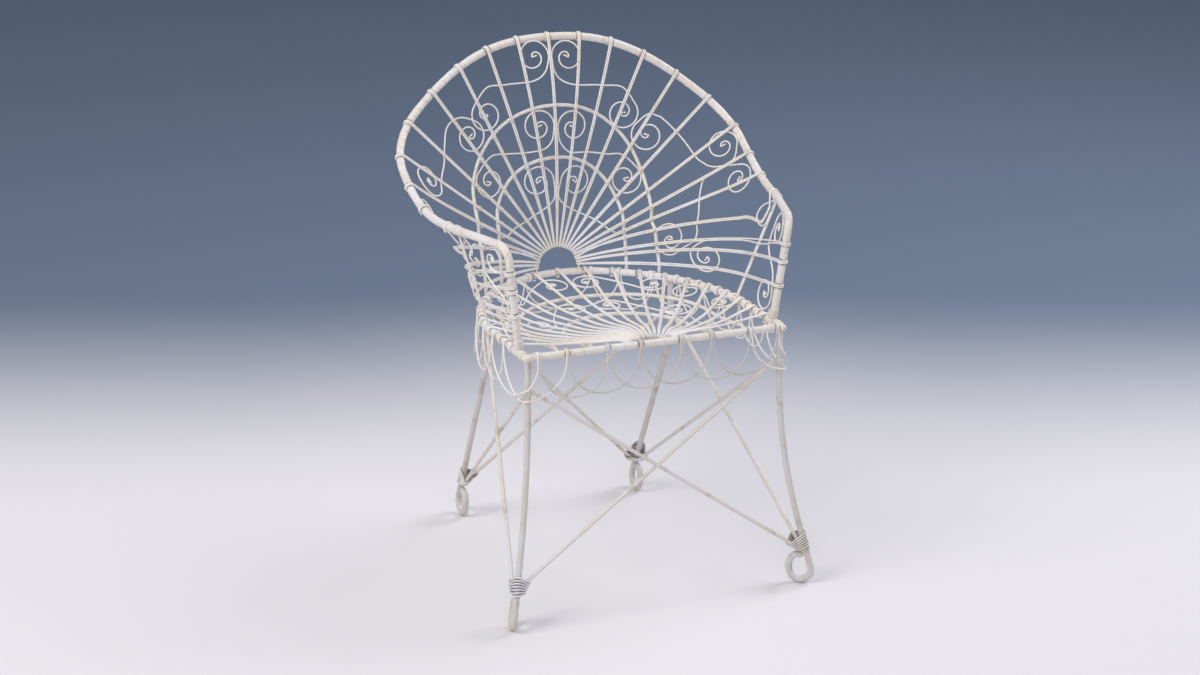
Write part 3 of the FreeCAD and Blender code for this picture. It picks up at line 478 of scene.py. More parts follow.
# Scrolls of the back, as (spoke, share along it, hand) for their spirals.
SCROLLS = {
    "crown_scroll_right": (
        [(0.58, 0.904, -1), (3.11, 0.699, -1)],
        [(0.11, 0.838), (0.39, 0.792), (1.03, 0.771), (2.07, 0.789), (2.76, 0.811)], LAYER_ONE),
    "crown_scroll_left": (
        [(-0.56, 0.914, 1), (-2.89, 0.734, 1)],
        [(-0.21, 0.842), (-0.52, 0.81), (-1.0, 0.802), (-1.86, 0.821), (-2.46, 0.845)], LAYER_ONE),
    "middle_scroll_right": (
        [(0.91, 0.572, -1), (4.68, 0.432, -1)],
        [(0.24, 0.503), (0.66, 0.459), (1.24, 0.445), (3.03, 0.476), (3.87, 0.518)], LAYER_ONE),
    "middle_scroll_left": (
        [(-0.81, 0.586, 1), (-4.37, 0.465, 1)],
        [(-0.18, 0.516), (-0.49, 0.482), (-1.02, 0.468), (-1.95, 0.478), (-2.79, 0.51),
         (-3.54, 0.551)], LAYER_ONE),
    "inner_scroll_right": (
        [(1.63, 0.305, -1)],
        [(0.21, 0.231), (0.88, 0.191), (1.98, 0.169), (3.54, 0.164), (4.99, 0.175),
         (7.56, 0.202)], LAYER_ONE),
    "inner_scroll_left": (
        [(-1.46, 0.316, 1)],
        [(-0.19, 0.23), (-0.79, 0.193), (-1.38, 0.179), (-2.55, 0.167), (-4.47, 0.176),
         (-6.83, 0.242)], LAYER_ONE),
    "low_scroll_right": (
        [(11.42, 0.478, 1, 0.82, 1.22, 1.6)],
        [(11.1, 0.404), (10.41, 0.425), (9.95, 0.467)], LAYER_ONE),
    "low_scroll_left": (
        [(-11.43, 0.466, -1)], [(-11.1, 0.404), (-10.41, 0.425), (-9.95, 0.467)], LAYER_ONE),
    "shoulder_scroll_right": (
        [(4.29, 0.67, 1), (7.73, 0.872, -1)],
        [(3.94, 0.757), (4.22, 0.777), (4.52, 0.78), (5.94, 0.758), (6.46, 0.779),
         (6.76, 0.809), (6.97, 0.865)], LAYER_ONE),
    "shoulder_scroll_left": (
        [(-3.82, 0.705, -1), (-6.22, 0.818, -1, 1.1, 1.12, 1.6)],
        [(-3.7, 0.805), (-4.04, 0.83), (-4.36, 0.822), (-4.75, 0.776), (-5.32, 0.729)], LAYER_ONE),
    "side_scroll_right": (
        [(6.27, 0.902, 1), (9.73, 0.332, -1, 1.0, 1.0, 1.85)],
        [(6.87, 0.918), (6.92, 0.835), (6.93, 0.765), (6.95, 0.734), (7.13, 0.701),
         (7.72, 0.638), (8.72, 0.549), (9.82, 0.425)], LAYER_TWO),
    "side_scroll_left": (
        [(-7.9, 0.87, -1), (-9.73, 0.345, 1)],
        [(-8.2, 0.72), (-9.1, 0.52), (-9.82, 0.425)], LAYER_ONE),
}
ARM_SCROLL = ([(0.6, 0.8, -1), (0.68, 0.185, -1)], [(0.4, 0.6), (0.76, 0.42)])
STRUT_LOOP = [(8.71, 1.173), (8.72, 1.0), (8.86, 0.918), (9.06, 0.873), (9.27, 0.846),
              (9.37, 0.857), (9.26, 0.929)]
NINTH_END = [(8.98, 0.805), (9.04, 0.835), (9.15, 0.853), (9.2, 0.888), (8.97, 0.986), (8.8, 1.076)]


def back_scroll(label):
    ends, via, layer = SCROLLS[label]
    stations = scroll_stations(fan, ends, via, BACK_CURL)
    return stations, [sheet_point(k, f, layer) for k, f in stations]


# Panel under the arm: u runs from strut to post, w from seat to arm.
def panel(u, w):
    p = mix(mix(STRUT_FOOT, STRUT_TOP, w), mix(POST_FOOT, POST_TOP, w), u)
    return p - unit((STRUT_TOP - STRUT_FOOT).cross(POST_FOOT - STRUT_FOOT)) * 2.0


# Seat fan: spokes spread from a half ring behind the front bar to the rim.
def dish(j, g):
    depth = SEAT_SAG * (1 - min(abs(j) / (SEAT_SPOKES + 0.5), 1.0) ** 4)
    for low, high in zip(SEAT_KNOTS, SEAT_KNOTS[1:]):
        if g <= high or high == 1.0:
            share = (g - low) / (high - low)
            return depth * 4 * mix(low * (1 - low), high * (1 - high), share)


def seat_fan(j, g):
    angle = j * SEAT_STEP
    hub = SEAT_HUB + Vector((math.sin(angle), math.cos(angle), 0)) * SEAT_HUB_R
    p = mix(hub, seat_point(j * SEAT_PITCH), g)
    p.z = SEAT_TOP - (dish(j, g - 0.04) + dish(j, g + 0.04)) / 2
    return p


seat_slopes = slopes_of(seat_fan)


def seat_sheet(j, g, layer):
    across, along = seat_slopes(j, g)
    down = unit(along.cross(across))
    return seat_fan(j, g) + (down if down.z < 0 else -down) * layer


# Spoke and share along it that lie over a place in the plan.
def seat_station(x, y):
    low, high = 0.0, SEAT_SPOKES + 0.9
    for _ in range(40):
        j = (low + high) / 2
        hub, tip = seat_fan(j, 0.0), seat_fan(j, 1.0)
        side = (tip.x - hub.x) * (y - hub.y) - (tip.y - hub.y) * (abs(x) - hub.x)
        low, high = (j, high) if side < 0 else (low, j)
    hub, tip = seat_fan(low, 0.0), seat_fan(low, 1.0)
    run = Vector((tip.x - hub.x, tip.y - hub.y))
    return (low if x >= 0 else -low), Vector((abs(x) - hub.x, y - hub.y)).dot(run) / run.dot(run)


def seat_spoke(j):
    s = j * SEAT_PITCH
    axis = seat_heading(s)
    hub, tip = seat_fan(j, 0.0), seat_fan(j, 1.0)
    inner = (SEAT_RING - SEAT_HUB_R) / (tip - hub).length
    places = []
    for g in spread(inner, 0.11, 8)[:-1] + spread(0.11, 0.985, 22):
        drop = SEAT_RING_DROP * (1 - ease((g - inner) / (0.13 - inner)))
        places.append(seat_fan(j, g) - up(drop))
    faces = [up(1) for _ in places]
    low, high = pair_runs(places, faces, axis, up(-1), 2.6, 0.5)
    return hairpin(low, high, seat_point(s), axis, up(-1), SEAT_ROD)


def seat_hoop(half, reach):
    centre = FRONT_Y + reach - half
    plan = [(half * math.sin(a), centre + half * math.cos(a))
            for a in spread(0.0, math.pi / 2, 15)]
    plan += [(half, mix(centre, BAR_BACK, share)) for share in (0.15, 0.3, 0.45, 0.6, 0.72, 0.85)]
    points = [seat_sheet(*seat_station(x, y), HOOP_LAYER) for x, y in plan]
    foot = min(points[-1].z, SEAT_Z - HOOP_ROD / 2)
    points.append(Vector((points[-1].x, BAR_BACK, foot)))
    return eased(flip(points[:0:-1]) + points, 6)


# Share along a spoke of the seat at which it crosses a hoop.
def seat_crossing(j, half, reach):
    centre = FRONT_Y + reach - half
    low, high = 0.0, 1.0
    for _ in range(40):
        g = (low + high) / 2
        p = seat_fan(abs(j), g)
        inside = math.hypot(p.x, p.y - centre) < half if p.y > centre else p.x < half
        low, high = (g, high) if inside else (low, g)
    return low


# Scrolls of the seat as (spoke, share of the way to the next rod out) for their
# spirals: two a side under the rim, and one a side between the hoops.
SEAT_SCROLLS = [[(0.73, 0.47), (3.5, 0.49)], [(5.1, 0.45), (7.2, 0.54)]]
INNER_SEAT_SCROLLS = {"right": [(0.9, 0.47), (4.9, 0.5)], "left": [(1.35, 0.5), (4.9, 0.5)]}


def seat_scroll(pair, hand, inner=False):
    ends = []
    for j, share in pair:
        edge = seat_crossing(j, *OUTER_SEAT_HOOP)
        if inner:
            g = mix(seat_crossing(j, *INNER_SEAT_HOOP), edge, share)
        else:
            g = mix(edge, 1.0, share)
        ends.append((hand * j, g, hand))
    stations = scroll_stations(seat_fan, ends, [], SEAT_CURL, 1.8 if hand > 0 else 1.45, 48)
    return [seat_sheet(j, g, LAYER_ONE) for j, g in stations]


# Skirt: stations along the front bar from the middle, round the corners.
def hem_station(s):
    return SEAT_HALF + CORNER + SEAT_LENGTH + FRONT_Y - BAR_Y - s


def hem_point(t):
    beyond = abs(t) - SEAT_HALF - CORNER
    if beyond > 0:
        return seat_point(math.copysign(SEAT_LENGTH + FRONT_Y - BAR_Y - beyond, t))
    return Vector((max(min(t, SEAT_HALF), -SEAT_HALF), BAR_Y, SEAT_Z))


def hem_outward(t):
    beyond = abs(t) - SEAT_HALF
    if beyond > CORNER:
        return seat_outward(math.copysign(SEAT_LENGTH + FRONT_Y - BAR_Y - beyond + CORNER, t))
    a = math.pi / 2 * max(beyond, 0.0) / CORNER
    return Vector((math.copysign(math.sin(a), t), -math.cos(a), 0))


# One loop of the skirt, hooked over the rim at both ends.
def scallop(place, outward, start, end, depth, layer, wire):
    base = SEAT_ROD + wire / 2
    reach = base + CLEAR + layer
    hooks = []
    for s in (start, end):
        over = [outward(s) * (base * math.sin(a)) + up(base * math.cos(a))
                for a in spread(-2.6, 1.25, 11)]
        hooks.append([place(s) + q for q in over])
    hang = []
    for a in spread(math.radians(10), math.radians(170), 33):
        share = 0.5 - 0.5 * math.cos(a)
        s = mix(start, end, share)
        hang.append(place(s) + outward(s) * reach - up(depth * math.sin(a) ** 0.8))
    return hooks[0] + hang + hooks[1][::-1]


# Loops from each tie to the next but one, so that neighbours overlap.
def skirt(place, outward, ties, depth, wire):
    inset = wire + CLEAR
    last = len(ties) - 1
    loops = []
    for i in range(-1, last):
        start = ties[max(i, 0)] + inset * (0.5 if i >= 0 else 1.6)
        end = ties[min(i + 2, last)] - inset * (0.5 if i + 2 <= last else 1.6)
        whole = 0 <= i <= last - 2
        drop = depth * (1.0 if whole else 0.7)
        loops.append(scallop(place, outward, start, end, drop, inset * (i % 2), wire))
    return loops


FRONT_TIES = (-0.91, -0.69, -0.38, -0.125, 0.19, 0.43, 0.735, 0.955)
SIDE_TIES = [hem_station(SEAT_PITCH * (i + 0.5)) for i in range(3, 10)]
BACK_TIES = [-SEAT_PITCH * 3.5, -109.0, -60.0, 60.0, 109.0, SEAT_PITCH * 3.5]
CHAIN = [-t for t in SIDE_TIES] + [SEAT_HALF * share for share in FRONT_TIES] + SIDE_TIES[::-1]


# A leg drops straight from the seat, bends out by its splay and ends in a loop.
class Leg:
    def __init__(self, top, out, straight, bend, splay, twist):
        self.top = Vector((top.x, top.y, SEAT_Z - SEAT_ROD - CLEAR))
        self.out = unit(out)
        self.knee = self.top.z - straight
        self.radius = bend
        self.twist = math.radians(twist)
        drop = self.knee - ANKLE_Z
        low, high = 0.0, math.asin(min(drop / bend, 1.0))
        for _ in range(50):
            self.sweep = (low + high) / 2
            low, high = (self.sweep, high) if self.shift(drop) < splay else (low, self.sweep)

    def shift(self, drop):
        if drop <= 0:
            return 0.0
        turned = self.radius * math.sin(self.sweep)
        if drop < turned:
            return self.radius - math.sqrt(self.radius ** 2 - drop ** 2)
        return self.radius * (1 - math.cos(self.sweep)) + (drop - turned) * math.tan(self.sweep)

    def axis(self, z):
        return Vector((self.top.x, self.top.y, z)) + self.out * self.shift(self.knee - z)

    def path(self):
        r = FOOT_LOOP
        ankle = self.axis(ANKLE_Z)
        down = self.out * math.sin(self.sweep) - up(math.cos(self.sweep))
        inward = self.out * -math.cos(self.sweep) - up(math.sin(self.sweep))
        inward = inward * math.cos(self.twist) + down.cross(inward) * math.sin(self.twist)
        level = r + LEG_ROD / 2 + 0.8
        straight = (ankle.z - level + r * inward.z) / -down.z
        heel = ankle + down * straight
        centre = heel + inward * r
        points = [self.axis(z) for z in spread(self.top.z, ANKLE_Z, 50)]
        for a in spread(-math.pi, 1.95, 36):
            rise = r * math.sin(a) * (1.5 if a > 0 else 1.0)
            points.append(centre + inward * (r * math.cos(a)) - down * rise)
        return points


# Legs are a little thicker at the foot.
def foot_swell(place):
    return 1 + 0.1 * ease((75 - place.z) / 30)


FRONT_TOP = Vector((SEAT_HALF - 3.0, FRONT_Y + LEG_ROD / 2, 0))
REAR_TOP = seat_point(206.0)
LEGS = {
    "front_right": Leg(FRONT_TOP, Vector((0.83, -0.56, 0)), 54.0, 1000.0, 52.0, 0),
    "front_left": Leg(
        flip([FRONT_TOP])[0], Vector((-0.69, -0.72, 0)), 54.0, 1000.0, 52.0, -28),
    "rear_right": Leg(REAR_TOP, Vector((0, 1, 0)), 58.0, 170.0, 150.0, 0),
    "rear_left": Leg(flip([REAR_TOP])[0], Vector((0, 1, 0)), 58.0, 170.0, 150.0, 0),
}


# Braces run from low beside one leg to high beside the next. One is bent down
# along its leg at the low end.
def brace_ends():
    side_gap = (LEG_ROD + BRACE_ROD) / 2 + CLEAR
    ends = {}
    for side, one, two in SIDES:
        across = LEGS[two].top - LEGS[one].top
        across = unit(Vector((across.x, across.y, 0)))
        beside = Vector((-across.y, across.x, 0))
        for low, high, hand in ((one, two, 1), (two, one, -1)):
            apart = beside * (hand * (BRACE_ROD + CLEAR) / 2)
            start = LEGS[low].axis(BRACE_LOW) + across * (hand * side_gap) + apart
            end = LEGS[high].axis(BRACE_HIGH) - across * (hand * side_gap) + apart
            ends[(side, low)] = [start, end]
            if (side, low) == ("front", "front_left"):
                bent = LEGS[low].axis(BRACE_LOW + 20) + across * (side_gap + 9) + apart
                ends[(side, low)] = [start, bent, end]
    return ends


BRACES = brace_ends()
FEET = {"front_left": ("front", "left"), "front_right": ("right", "front"),
        "rear_left": ("left", "rear"), "rear_right": ("rear", "right")}
# How far up its braces each binding climbs, against its leg.
BRACE_GRIP = {"front_left": 0.8, "front_right": 1.0, "rear_left": 0.9, "rear_right": 0.62}


def along_rod(ends):
    def at(z):
        low, high = ends[:2] if z < ends[1].z else ends[-2:]
        return mix(low, high, (z - low.z) / (high.z - low.z))
    return at


# Points on each bend of a binding, which has three bends a turn.
BINDING_BEND = 7


# One wire wound round three rods, a rounded triangle each turn.
def binding(name, wire, pitch=4.1, turns=7):
    rods = [(LEGS[name].axis, LEG_ROD / 2, 1.0)]
    for side in FEET[name]:
        ends = BRACES[(side, name)]
        rise = BRACE_GRIP[name] * math.cos((ends[1] - ends[0]).angle(up(1)))
        rods.append((along_rod(ends), BRACE_DRAWN / 2, rise))
    points = []
    for turn in range(turns):
        for n in range(3):
            way = 1.5 + pitch * (turn + n / 3)
            centres = [at(BRACE_LOW + way * rise) for at, _, rise in rods]
            here, after, before = centres[n], centres[(n + 1) % 3], centres[n - 1]
            normal = unit((after - here).cross(before - here))
            normal = normal if normal.z > 0 else -normal
            at, thick, _ = rods[n]
            slant = abs(unit(at(here.z + 1) - here).dot(normal))
            radius = thick / slant + wire / 2 + 0.1
            first = unit((here - before).cross(normal))
            last = unit((after - here).cross(normal))
            if first.dot(here - (after + before) / 2) < 0:
                first, last = -first, -last
            wide = first.angle(last)
            aside = unit(last - first * math.cos(wide))
            for share in spread(0.0, 1.0, BINDING_BEND):
                a = wide * share
                points.append(here + first * (radius * math.cos(a)) + aside * (radius * math.sin(a))
                              + normal * (pitch * (share - 0.5) / 3))
    return points


# Painted shade on the inner side of a winding, where its pocket lies in shadow, and painted shade
# between its turns.
def binding_painted_shade(points):
    count = 3 * BINDING_BEND
    turn = [sum(points[i:i + count], Vector()) / count for i in (0, len(points) - count)]
    axis = unit(turn[1] - turn[0])

    def darkening(place, normal):
        out = place - turn[0]
        out = unit(out - axis * out.dot(axis))
        pocket_shade = 1 - ease((normal.dot(out) + 0.2) / 0.6)
        between = ease((abs(normal.dot(axis)) - 0.5) / 0.4)
        return max(pocket_shade, 0.65 * between)
    return darkening


# Rust stains and painted shade darken a rod beside each tie: ties are (centre, axis, radius, half
# width).
def tie_rust_and_shade(ties):
    around = 16
    tree = kdtree.KDTree(len(ties) * 2 * around)
    strength = []
    for centre, axis, radius, half in ties:
        side = unit(axis.orthogonal())
        other = axis.cross(side)
        for hand in (1, -1):
            much = min(max(0.85 + 1.1 * noise.noise(centre * 0.31 + axis * hand), 0.0), 1.0)
            for a in spread(0.0, 2 * math.pi, around + 1)[:-1]:
                spot = side * (radius * math.cos(a)) + other * (radius * math.sin(a))
                tree.insert(centre + axis * (hand * half) + spot, len(strength))
                strength.append(much)
    tree.balance()

    def darkening(place, normal):
        _, index, gap = tree.find(place)
        return strength[index] * (1 - ease((gap - 1.2) / 1.9))
    return darkening


# The seat's spokes are darker in patches where they crowd onto their ring.
def hub_darkening(place, normal):
    reach = math.hypot(place.x - SEAT_HUB.x, place.y - SEAT_HUB.y)
    near = 1 - ease((reach - SEAT_RING - 1.0) / 8.0)
    return near * min(max(0.45 + 0.9 * noise.noise(place * 0.07), 0.0), 1.0)


# Turns of wire about an axis, and a lashing round two rods that cross.
def coil(centre, axis, radius, pitch, turns):
    axis = unit(axis)
    side = unit(axis.orthogonal())
    other = axis.cross(side)
    points = []
    for share in spread(0.0, 1.0, int(turns * 14) + 1):
        a = 2 * math.pi * turns * share
        points.append(centre + axis * (pitch * turns * (share - 0.5))
                      + side * (radius * math.cos(a)) + other * (radius * math.sin(a)))
    return points


def lashing(centre, one, two, normal, deep, wide):
    rings = []
    for across in (one + two, one - two):
        if across.length < 0.05:
            continue
        across = unit(across - normal * across.dot(normal))
        rings.append([centre + across * (wide * math.cos(a)) + normal * (deep * math.sin(a))
                      for a in spread(0.0, 2 * math.pi, 13)[:-1]])
    return rings


class ChairSizes(bpy.types.PropertyGroup):
    """Gauges of the rods and wires"""

    paint_coat: bpy.props.FloatProperty(
        name="Paint Coat", description="Thickness of old paint on every rod and wire",
        default=0.00012, min=0.0, max=0.001, subtype="DISTANCE")
    strip_pitch: bpy.props.FloatProperty(
        name="Strip Pitch", description="Width of one turn of the strip wrapped round the rims",
        default=0.017, min=0.005, max=0.05, subtype="DISTANCE")
    strip_edge: bpy.props.FloatProperty(
        name="Strip Edge", description="How far the edge of the wrapped strip stands up",
        default=0.00026, min=0.0, max=0.002, subtype="DISTANCE")
    tie_wire: bpy.props.FloatProperty(
        name="Tie Wire", description="Gauge of the fine wire that ties crossings",
        default=0.0011, min=0.0004, max=0.003, subtype="DISTANCE")
    skirt_wire: bpy.props.FloatProperty(
        name="Skirt Wire", description="Gauge of the skirt loops",
        default=0.0026, min=0.001, max=0.006, subtype="DISTANCE")
    skirt_depth: bpy.props.FloatProperty(
        name="Skirt Depth", description="Drop of a skirt loop under the seat rim",
        default=0.070, min=0.02, max=0.12, subtype="DISTANCE")
    binding_wire: bpy.props.FloatProperty(
        name="Binding Wire", description="Gauge of the wire wound round each ankle",
        default=0.0031, min=0.001, max=0.004, subtype="DISTANCE")
    unevenness: bpy.props.FloatProperty(
        name="Unevenness", description="How much the paint coat swells and thins along a wire",
        default=0.06, min=0.0, max=0.3, subtype="FACTOR")


class ChairColours(bpy.types.PropertyGroup):
    """Colours of the paint and the studio"""

    cream: bpy.props.FloatVectorProperty(
        name="Cream", description="Main colour of the old paint",
        default=(0.75, 0.69, 0.615), size=3, min=0.0, max=1.0, subtype="COLOR")
    cool_white: bpy.props.FloatVectorProperty(
        name="Cool White", description="Colour of newer coats and touched-up places",
        default=(0.75, 0.745, 0.775), size=3, min=0.0, max=1.0, subtype="COLOR")
    beige: bpy.props.FloatVectorProperty(
        name="Beige", description="Colour where the paint has yellowed",
        default=(0.55, 0.455, 0.345), size=3, min=0.0, max=1.0, subtype="COLOR")
    # Besides dirt and bare metal, this colour paints shade in the pockets and between the turns of
    # bindings and beside ties.
    grime_and_shade: bpy.props.FloatVectorProperty(
        name="Grime", description="Colour of dirt and bare metal in the seams",
        default=(0.105, 0.09, 0.08), size=3, min=0.0, max=1.0, subtype="COLOR")
    floor: bpy.props.FloatVectorProperty(
        name="Floor", description="Colour of the studio floor near the chair",
        default=(0.752, 0.726, 0.752), size=3, min=0.0, max=1.0, subtype="COLOR")
    distance: bpy.props.FloatVectorProperty(
        name="Distance", description="Colour that the floor fades to behind the chair",
        default=(0.152, 0.197, 0.28), size=3, min=0.0, max=1.0, subtype="COLOR")


class Tone:
    """A shader socket that takes part in plain sums."""

    def __init__(self, tree, socket=None):
        self.tree = tree
        self.socket = socket

    def node(self, kind, settings, values, out=0):
        made = self.tree.nodes.new(kind)
        for name, value in settings.items():
            setattr(made, name, value)
        for name, value in values.items():
            if isinstance(value, Tone):
                self.tree.links.new(value.socket, made.inputs[name])
            else:
                made.inputs[name].default_value = value
        return Tone(self.tree, made.outputs[out] if made.outputs else None)

    def sum(self, operation, one, two):
        return self.node("ShaderNodeMath", {"operation": operation}, {0: one, 1: two})

    def __add__(self, other):
        return self.sum("ADD", self, other)

    __radd__ = __add__

    def __sub__(self, other):
        return self.sum("SUBTRACT", self, other)

    def __rsub__(self, other):
        return self.sum("SUBTRACT", other, self)

    def __mul__(self, other):
        return self.sum("MULTIPLY", self, other)

    __rmul__ = __mul__

    def fraction(self):
        return self.node("ShaderNodeMath", {"operation": "FRACT"}, {0: self})

    def step(self, low, high):
        return self.node("ShaderNodeMapRange", {"interpolation_type": "SMOOTHSTEP"},
                         {"Value": self, "From Min": low, "From Max": high})

    def blend(self, one, two):
        values = {0: self}
        for name, colour in ((6, one), (7, two)):
            values[name] = colour if isinstance(colour, Tone) else (*colour, 1.0)
        return self.node("ShaderNodeMix", {"data_type": "RGBA"}, values, 2)


def new_tree(name):
    material = bpy.data.materials.new(name)
    material.use_nodes = True
    tree = material.node_tree
    tree.nodes.clear()
    return material, Tone(tree)


# Old brushed paint: `strip` adds the edges of a wrapped strip with a painted shadow line, `worn`
# specks, `yellowed` stains, the darkening setting is painted shade on the whole paint (below
# zero it is painted light) and `patchy` shows the newer coats.
PAINTS = {
    "wrapped_rod_paint": dict(strip=True, worn=0.5, yellowed=0.45, painted_shade=0.02, patchy=0.65),
    "plain_rod_paint": dict(strip=False, worn=0.7, yellowed=0.85, painted_shade=0.2, patchy=0.9),
    "brace_rod_paint": dict(strip=False, worn=0.6, yellowed=0.9, painted_shade=0.08, patchy=0.7),
    "fine_wire_paint": dict(strip=False, worn=0.45, yellowed=0.35, painted_shade=-0.07, patchy=0.75),
    "shaded_skirt_wire_paint": dict(strip=False, worn=0.7, yellowed=0.5, painted_shade=0.24, patchy=1.0),
    "wound_binding_paint": dict(strip=False, worn=1.0, yellowed=0.5, painted_shade=0.04, patchy=1.0),
}


def old_paint(name, colours, strip, worn, yellowed, painted_shade, patchy):
    _, start = new_tree(name)
    tints = (colours.cream, colours.cool_white, colours.beige)
    cream, white, beige = (Vector(tint) * (1 - painted_shade) for tint in tints)
    place = start.node("ShaderNodeTexCoord", {}, {}, "Object")

    def cloud(scale, detail, rough=0.55):
        return start.node("ShaderNodeTexNoise", {}, {
            "Vector": place, "Scale": scale, "Detail": detail, "Roughness": rough})

    coats = cloud(14.0, 3.0).step(0.38, 0.66)
    stains = cloud(27.0, 4.0, 0.65).step(0.52, 0.72) * yellowed
    specks = cloud(330.0, 2.0).step(0.66, 0.76) * worn
    brush = cloud(900.0, 2.0)
    lumps = cloud(150.0, 3.0)
    colour = (coats * patchy).blend(cream, white)
    colour = stains.blend(colour, beige)
    colour = (specks * 0.55).blend(colour, colours.grime_and_shade)
    # A vertex attribute darkens the paint towards that colour: painted shade in bindings, rust
    # stains with painted shade beside ties, and darker patches at the seat's hub.
    grime_and_shade_mask = start.node("ShaderNodeAttribute", {"attribute_name": "grime_and_shade"}, {}, "Fac")
    colour = (grime_and_shade_mask * cloud(120.0, 2.0).step(0.3, 0.55) * 0.85).blend(colour, colours.grime_and_shade)
    height = lumps * 0.6 + brush * 0.12
    roughness = 0.34 + coats * 0.1 + stains * 0.14
    if strip:
        chart = start.node("ShaderNodeUVMap", {"uv_map": "UVMap"}, {})
        across = start.node("ShaderNodeSeparateXYZ", {}, {0: chart}, 0)
        around = start.node("ShaderNodeSeparateXYZ", {}, {0: chart}, 1)
        wrap = (across - around).fraction()
        # A dark line along each edge of the strip is a painted shadow of its raised edge.
        strip_edge_shade = (1 - wrap.step(0.0, 0.045)) * cloud(46.0, 2.0).step(0.30, 0.56)
        colour = (strip_edge_shade * 0.7).blend(colour, beige * 0.45)
        height = height * 0.35 + wrap.step(0.0, 0.09) - wrap * 0.55
    bump = start.node("ShaderNodeBump", {}, {
        "Strength": 0.55 if strip else 0.4, "Distance": 0.0009 if strip else 0.0006,
        "Height": height})
    shader = start.node("ShaderNodeBsdfPrincipled", {}, {
        "Base Color": colour, "Roughness": roughness, "Normal": bump})
    shader.socket.node.inputs["Specular IOR Level"].default_value = 0.42
    start.node("ShaderNodeOutputMaterial", {}, {"Surface": shader})


def finishes():
    made = bpy.data.materials
    if "wrapped_rod_paint" not in made:
        for name, looks in PAINTS.items():
            old_paint(name, bpy.context.scene.chair_colours, **looks)
    return made


def bare_selection():
    if bpy.context.object and bpy.context.object.mode != "OBJECT":
        bpy.ops.object.mode_set(mode="OBJECT")
    bpy.ops.object.select_all(action="DESELECT")


def run_length(points):
    return sum((b - a).length for a, b in zip(points, points[1:]))


# Rings of a rounded end, as (reach, share of the radius).
TIP_RINGS = ((0.28, 0.86), (0.46, 0.5))


# Rounds both ends of a run and lets its paint swell and thin a little.
def add_run(curve, points, diameter, closed, uneven, swell):
    knots = [(p, 1.0) for p in points]
    if not closed:
        for end, before in ((0, 1), (-1, -2)):
            away = unit(points[end] - points[before])
            tips = [(points[end] + away * (diameter * reach), r) for reach, r in TIP_RINGS]
            knots = tips[::-1] + knots if end == 0 else knots + tips
    spline = curve.splines.new("POLY")
    spline.points.add(len(knots) - 1)
    spline.use_cyclic_u = closed
    for point, (p, r) in zip(spline.points, knots):
        point.co = (p.x / 1000, p.y / 1000, p.z / 1000, 1.0)
        point.radius = r * (1 + uneven * noise.noise(p * 0.045)) * (swell(p) if swell else 1.0)


# Lifts the leading edge of a strip that is wound along a rod. The strip runs
# out flat at both ends, so that the end caps stay closed.
def wind_strip(mesh, thick, turns):
    lift = [0.0] * len(mesh.vertices)
    chart = mesh.uv_layers["UVMap"].uv
    for face in mesh.polygons:
        if face.loop_total == 4:
            for index in face.loop_indices:
                along, around = chart[index].vector
                wrap = (along - around) % 1.0
                flat = ease(min(along, turns - along) / 0.5)
                lift[mesh.loops[index].vertex_index] = thick * (min(wrap / 0.09, 1.0) - wrap) * flat
    outward = [vertex.normal.copy() for vertex in mesh.vertices]
    places = []
    for vertex, normal, high in zip(mesh.vertices, outward, lift):
        places.extend(vertex.co + normal * high)
    mesh.vertices.foreach_set("co", places)
    mesh.update()


# Stores per vertex how far the paint is darkened: painted shade, rust stains and darker patches.
def lay_darkening(mesh, darkening):
    grime_and_shade = mesh.attributes.new("grime_and_shade", "FLOAT", "POINT")
    amounts = [darkening(vertex.co * 1000, vertex.normal) for vertex in mesh.vertices]
    grime_and_shade.data.foreach_set("value", amounts)


# Draws runs of wire as one piece, painted, and set in place of its nodes.
def lay_wires(name, runs, diameter, sides, paint, nodes=(), closed=False, darkening=None,
              swell=None):
    sizes = bpy.context.scene.chair_sizes
    bare_selection()
    bpy.ops.curve.primitive_nurbs_path_add(location=(0, 0, 0))
    piece = bpy.context.object
    piece.name = name
    curve = piece.data
    curve.splines.clear()
    for points in runs:
        add_run(curve, points, diameter, closed, sizes.unevenness, swell)
    curve.bevel_depth = diameter / 2000 + sizes.paint_coat
    curve.bevel_resolution = sides // 2 - 2
    curve.use_fill_caps = not closed
    bpy.ops.object.convert(target="MESH")
    piece = bpy.context.object
    turns = run_length(runs[0]) / 1000 / sizes.strip_pitch
    for corner in piece.data.uv_layers["UVMap"].uv:
        corner.vector = (corner.vector.x * turns, corner.vector.y)
    if paint == "wrapped_rod_paint":
        wind_strip(piece.data, sizes.strip_edge, turns)
    if darkening:
        lay_darkening(piece.data, darkening)
    bpy.ops.object.shade_smooth_by_angle(angle=math.radians(55))
    piece.data.materials.clear()
    piece.data.materials.append(finishes()[paint])
    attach(piece, "root")
    if nodes:
        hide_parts(*nodes)


def lay_wrapped(name, run, diameter, sides, node, darkening=None):
    lay_wires(name, [run], diameter, sides, "wrapped_rod_paint", [node], darkening=darkening)


def lay_fine(name, runs, nodes=(), diameter=WIRE, darkening=None):
    lay_wires(name, runs, diameter, 10, "fine_wire_paint", nodes, darkening=darkening)


def lay_wound(name, runs, diameter, nodes=(), sides=8, closed=False, darkening=None):
    lay_wires(name, runs, diameter, sides, "wound_binding_paint", nodes, closed,
              darkening)


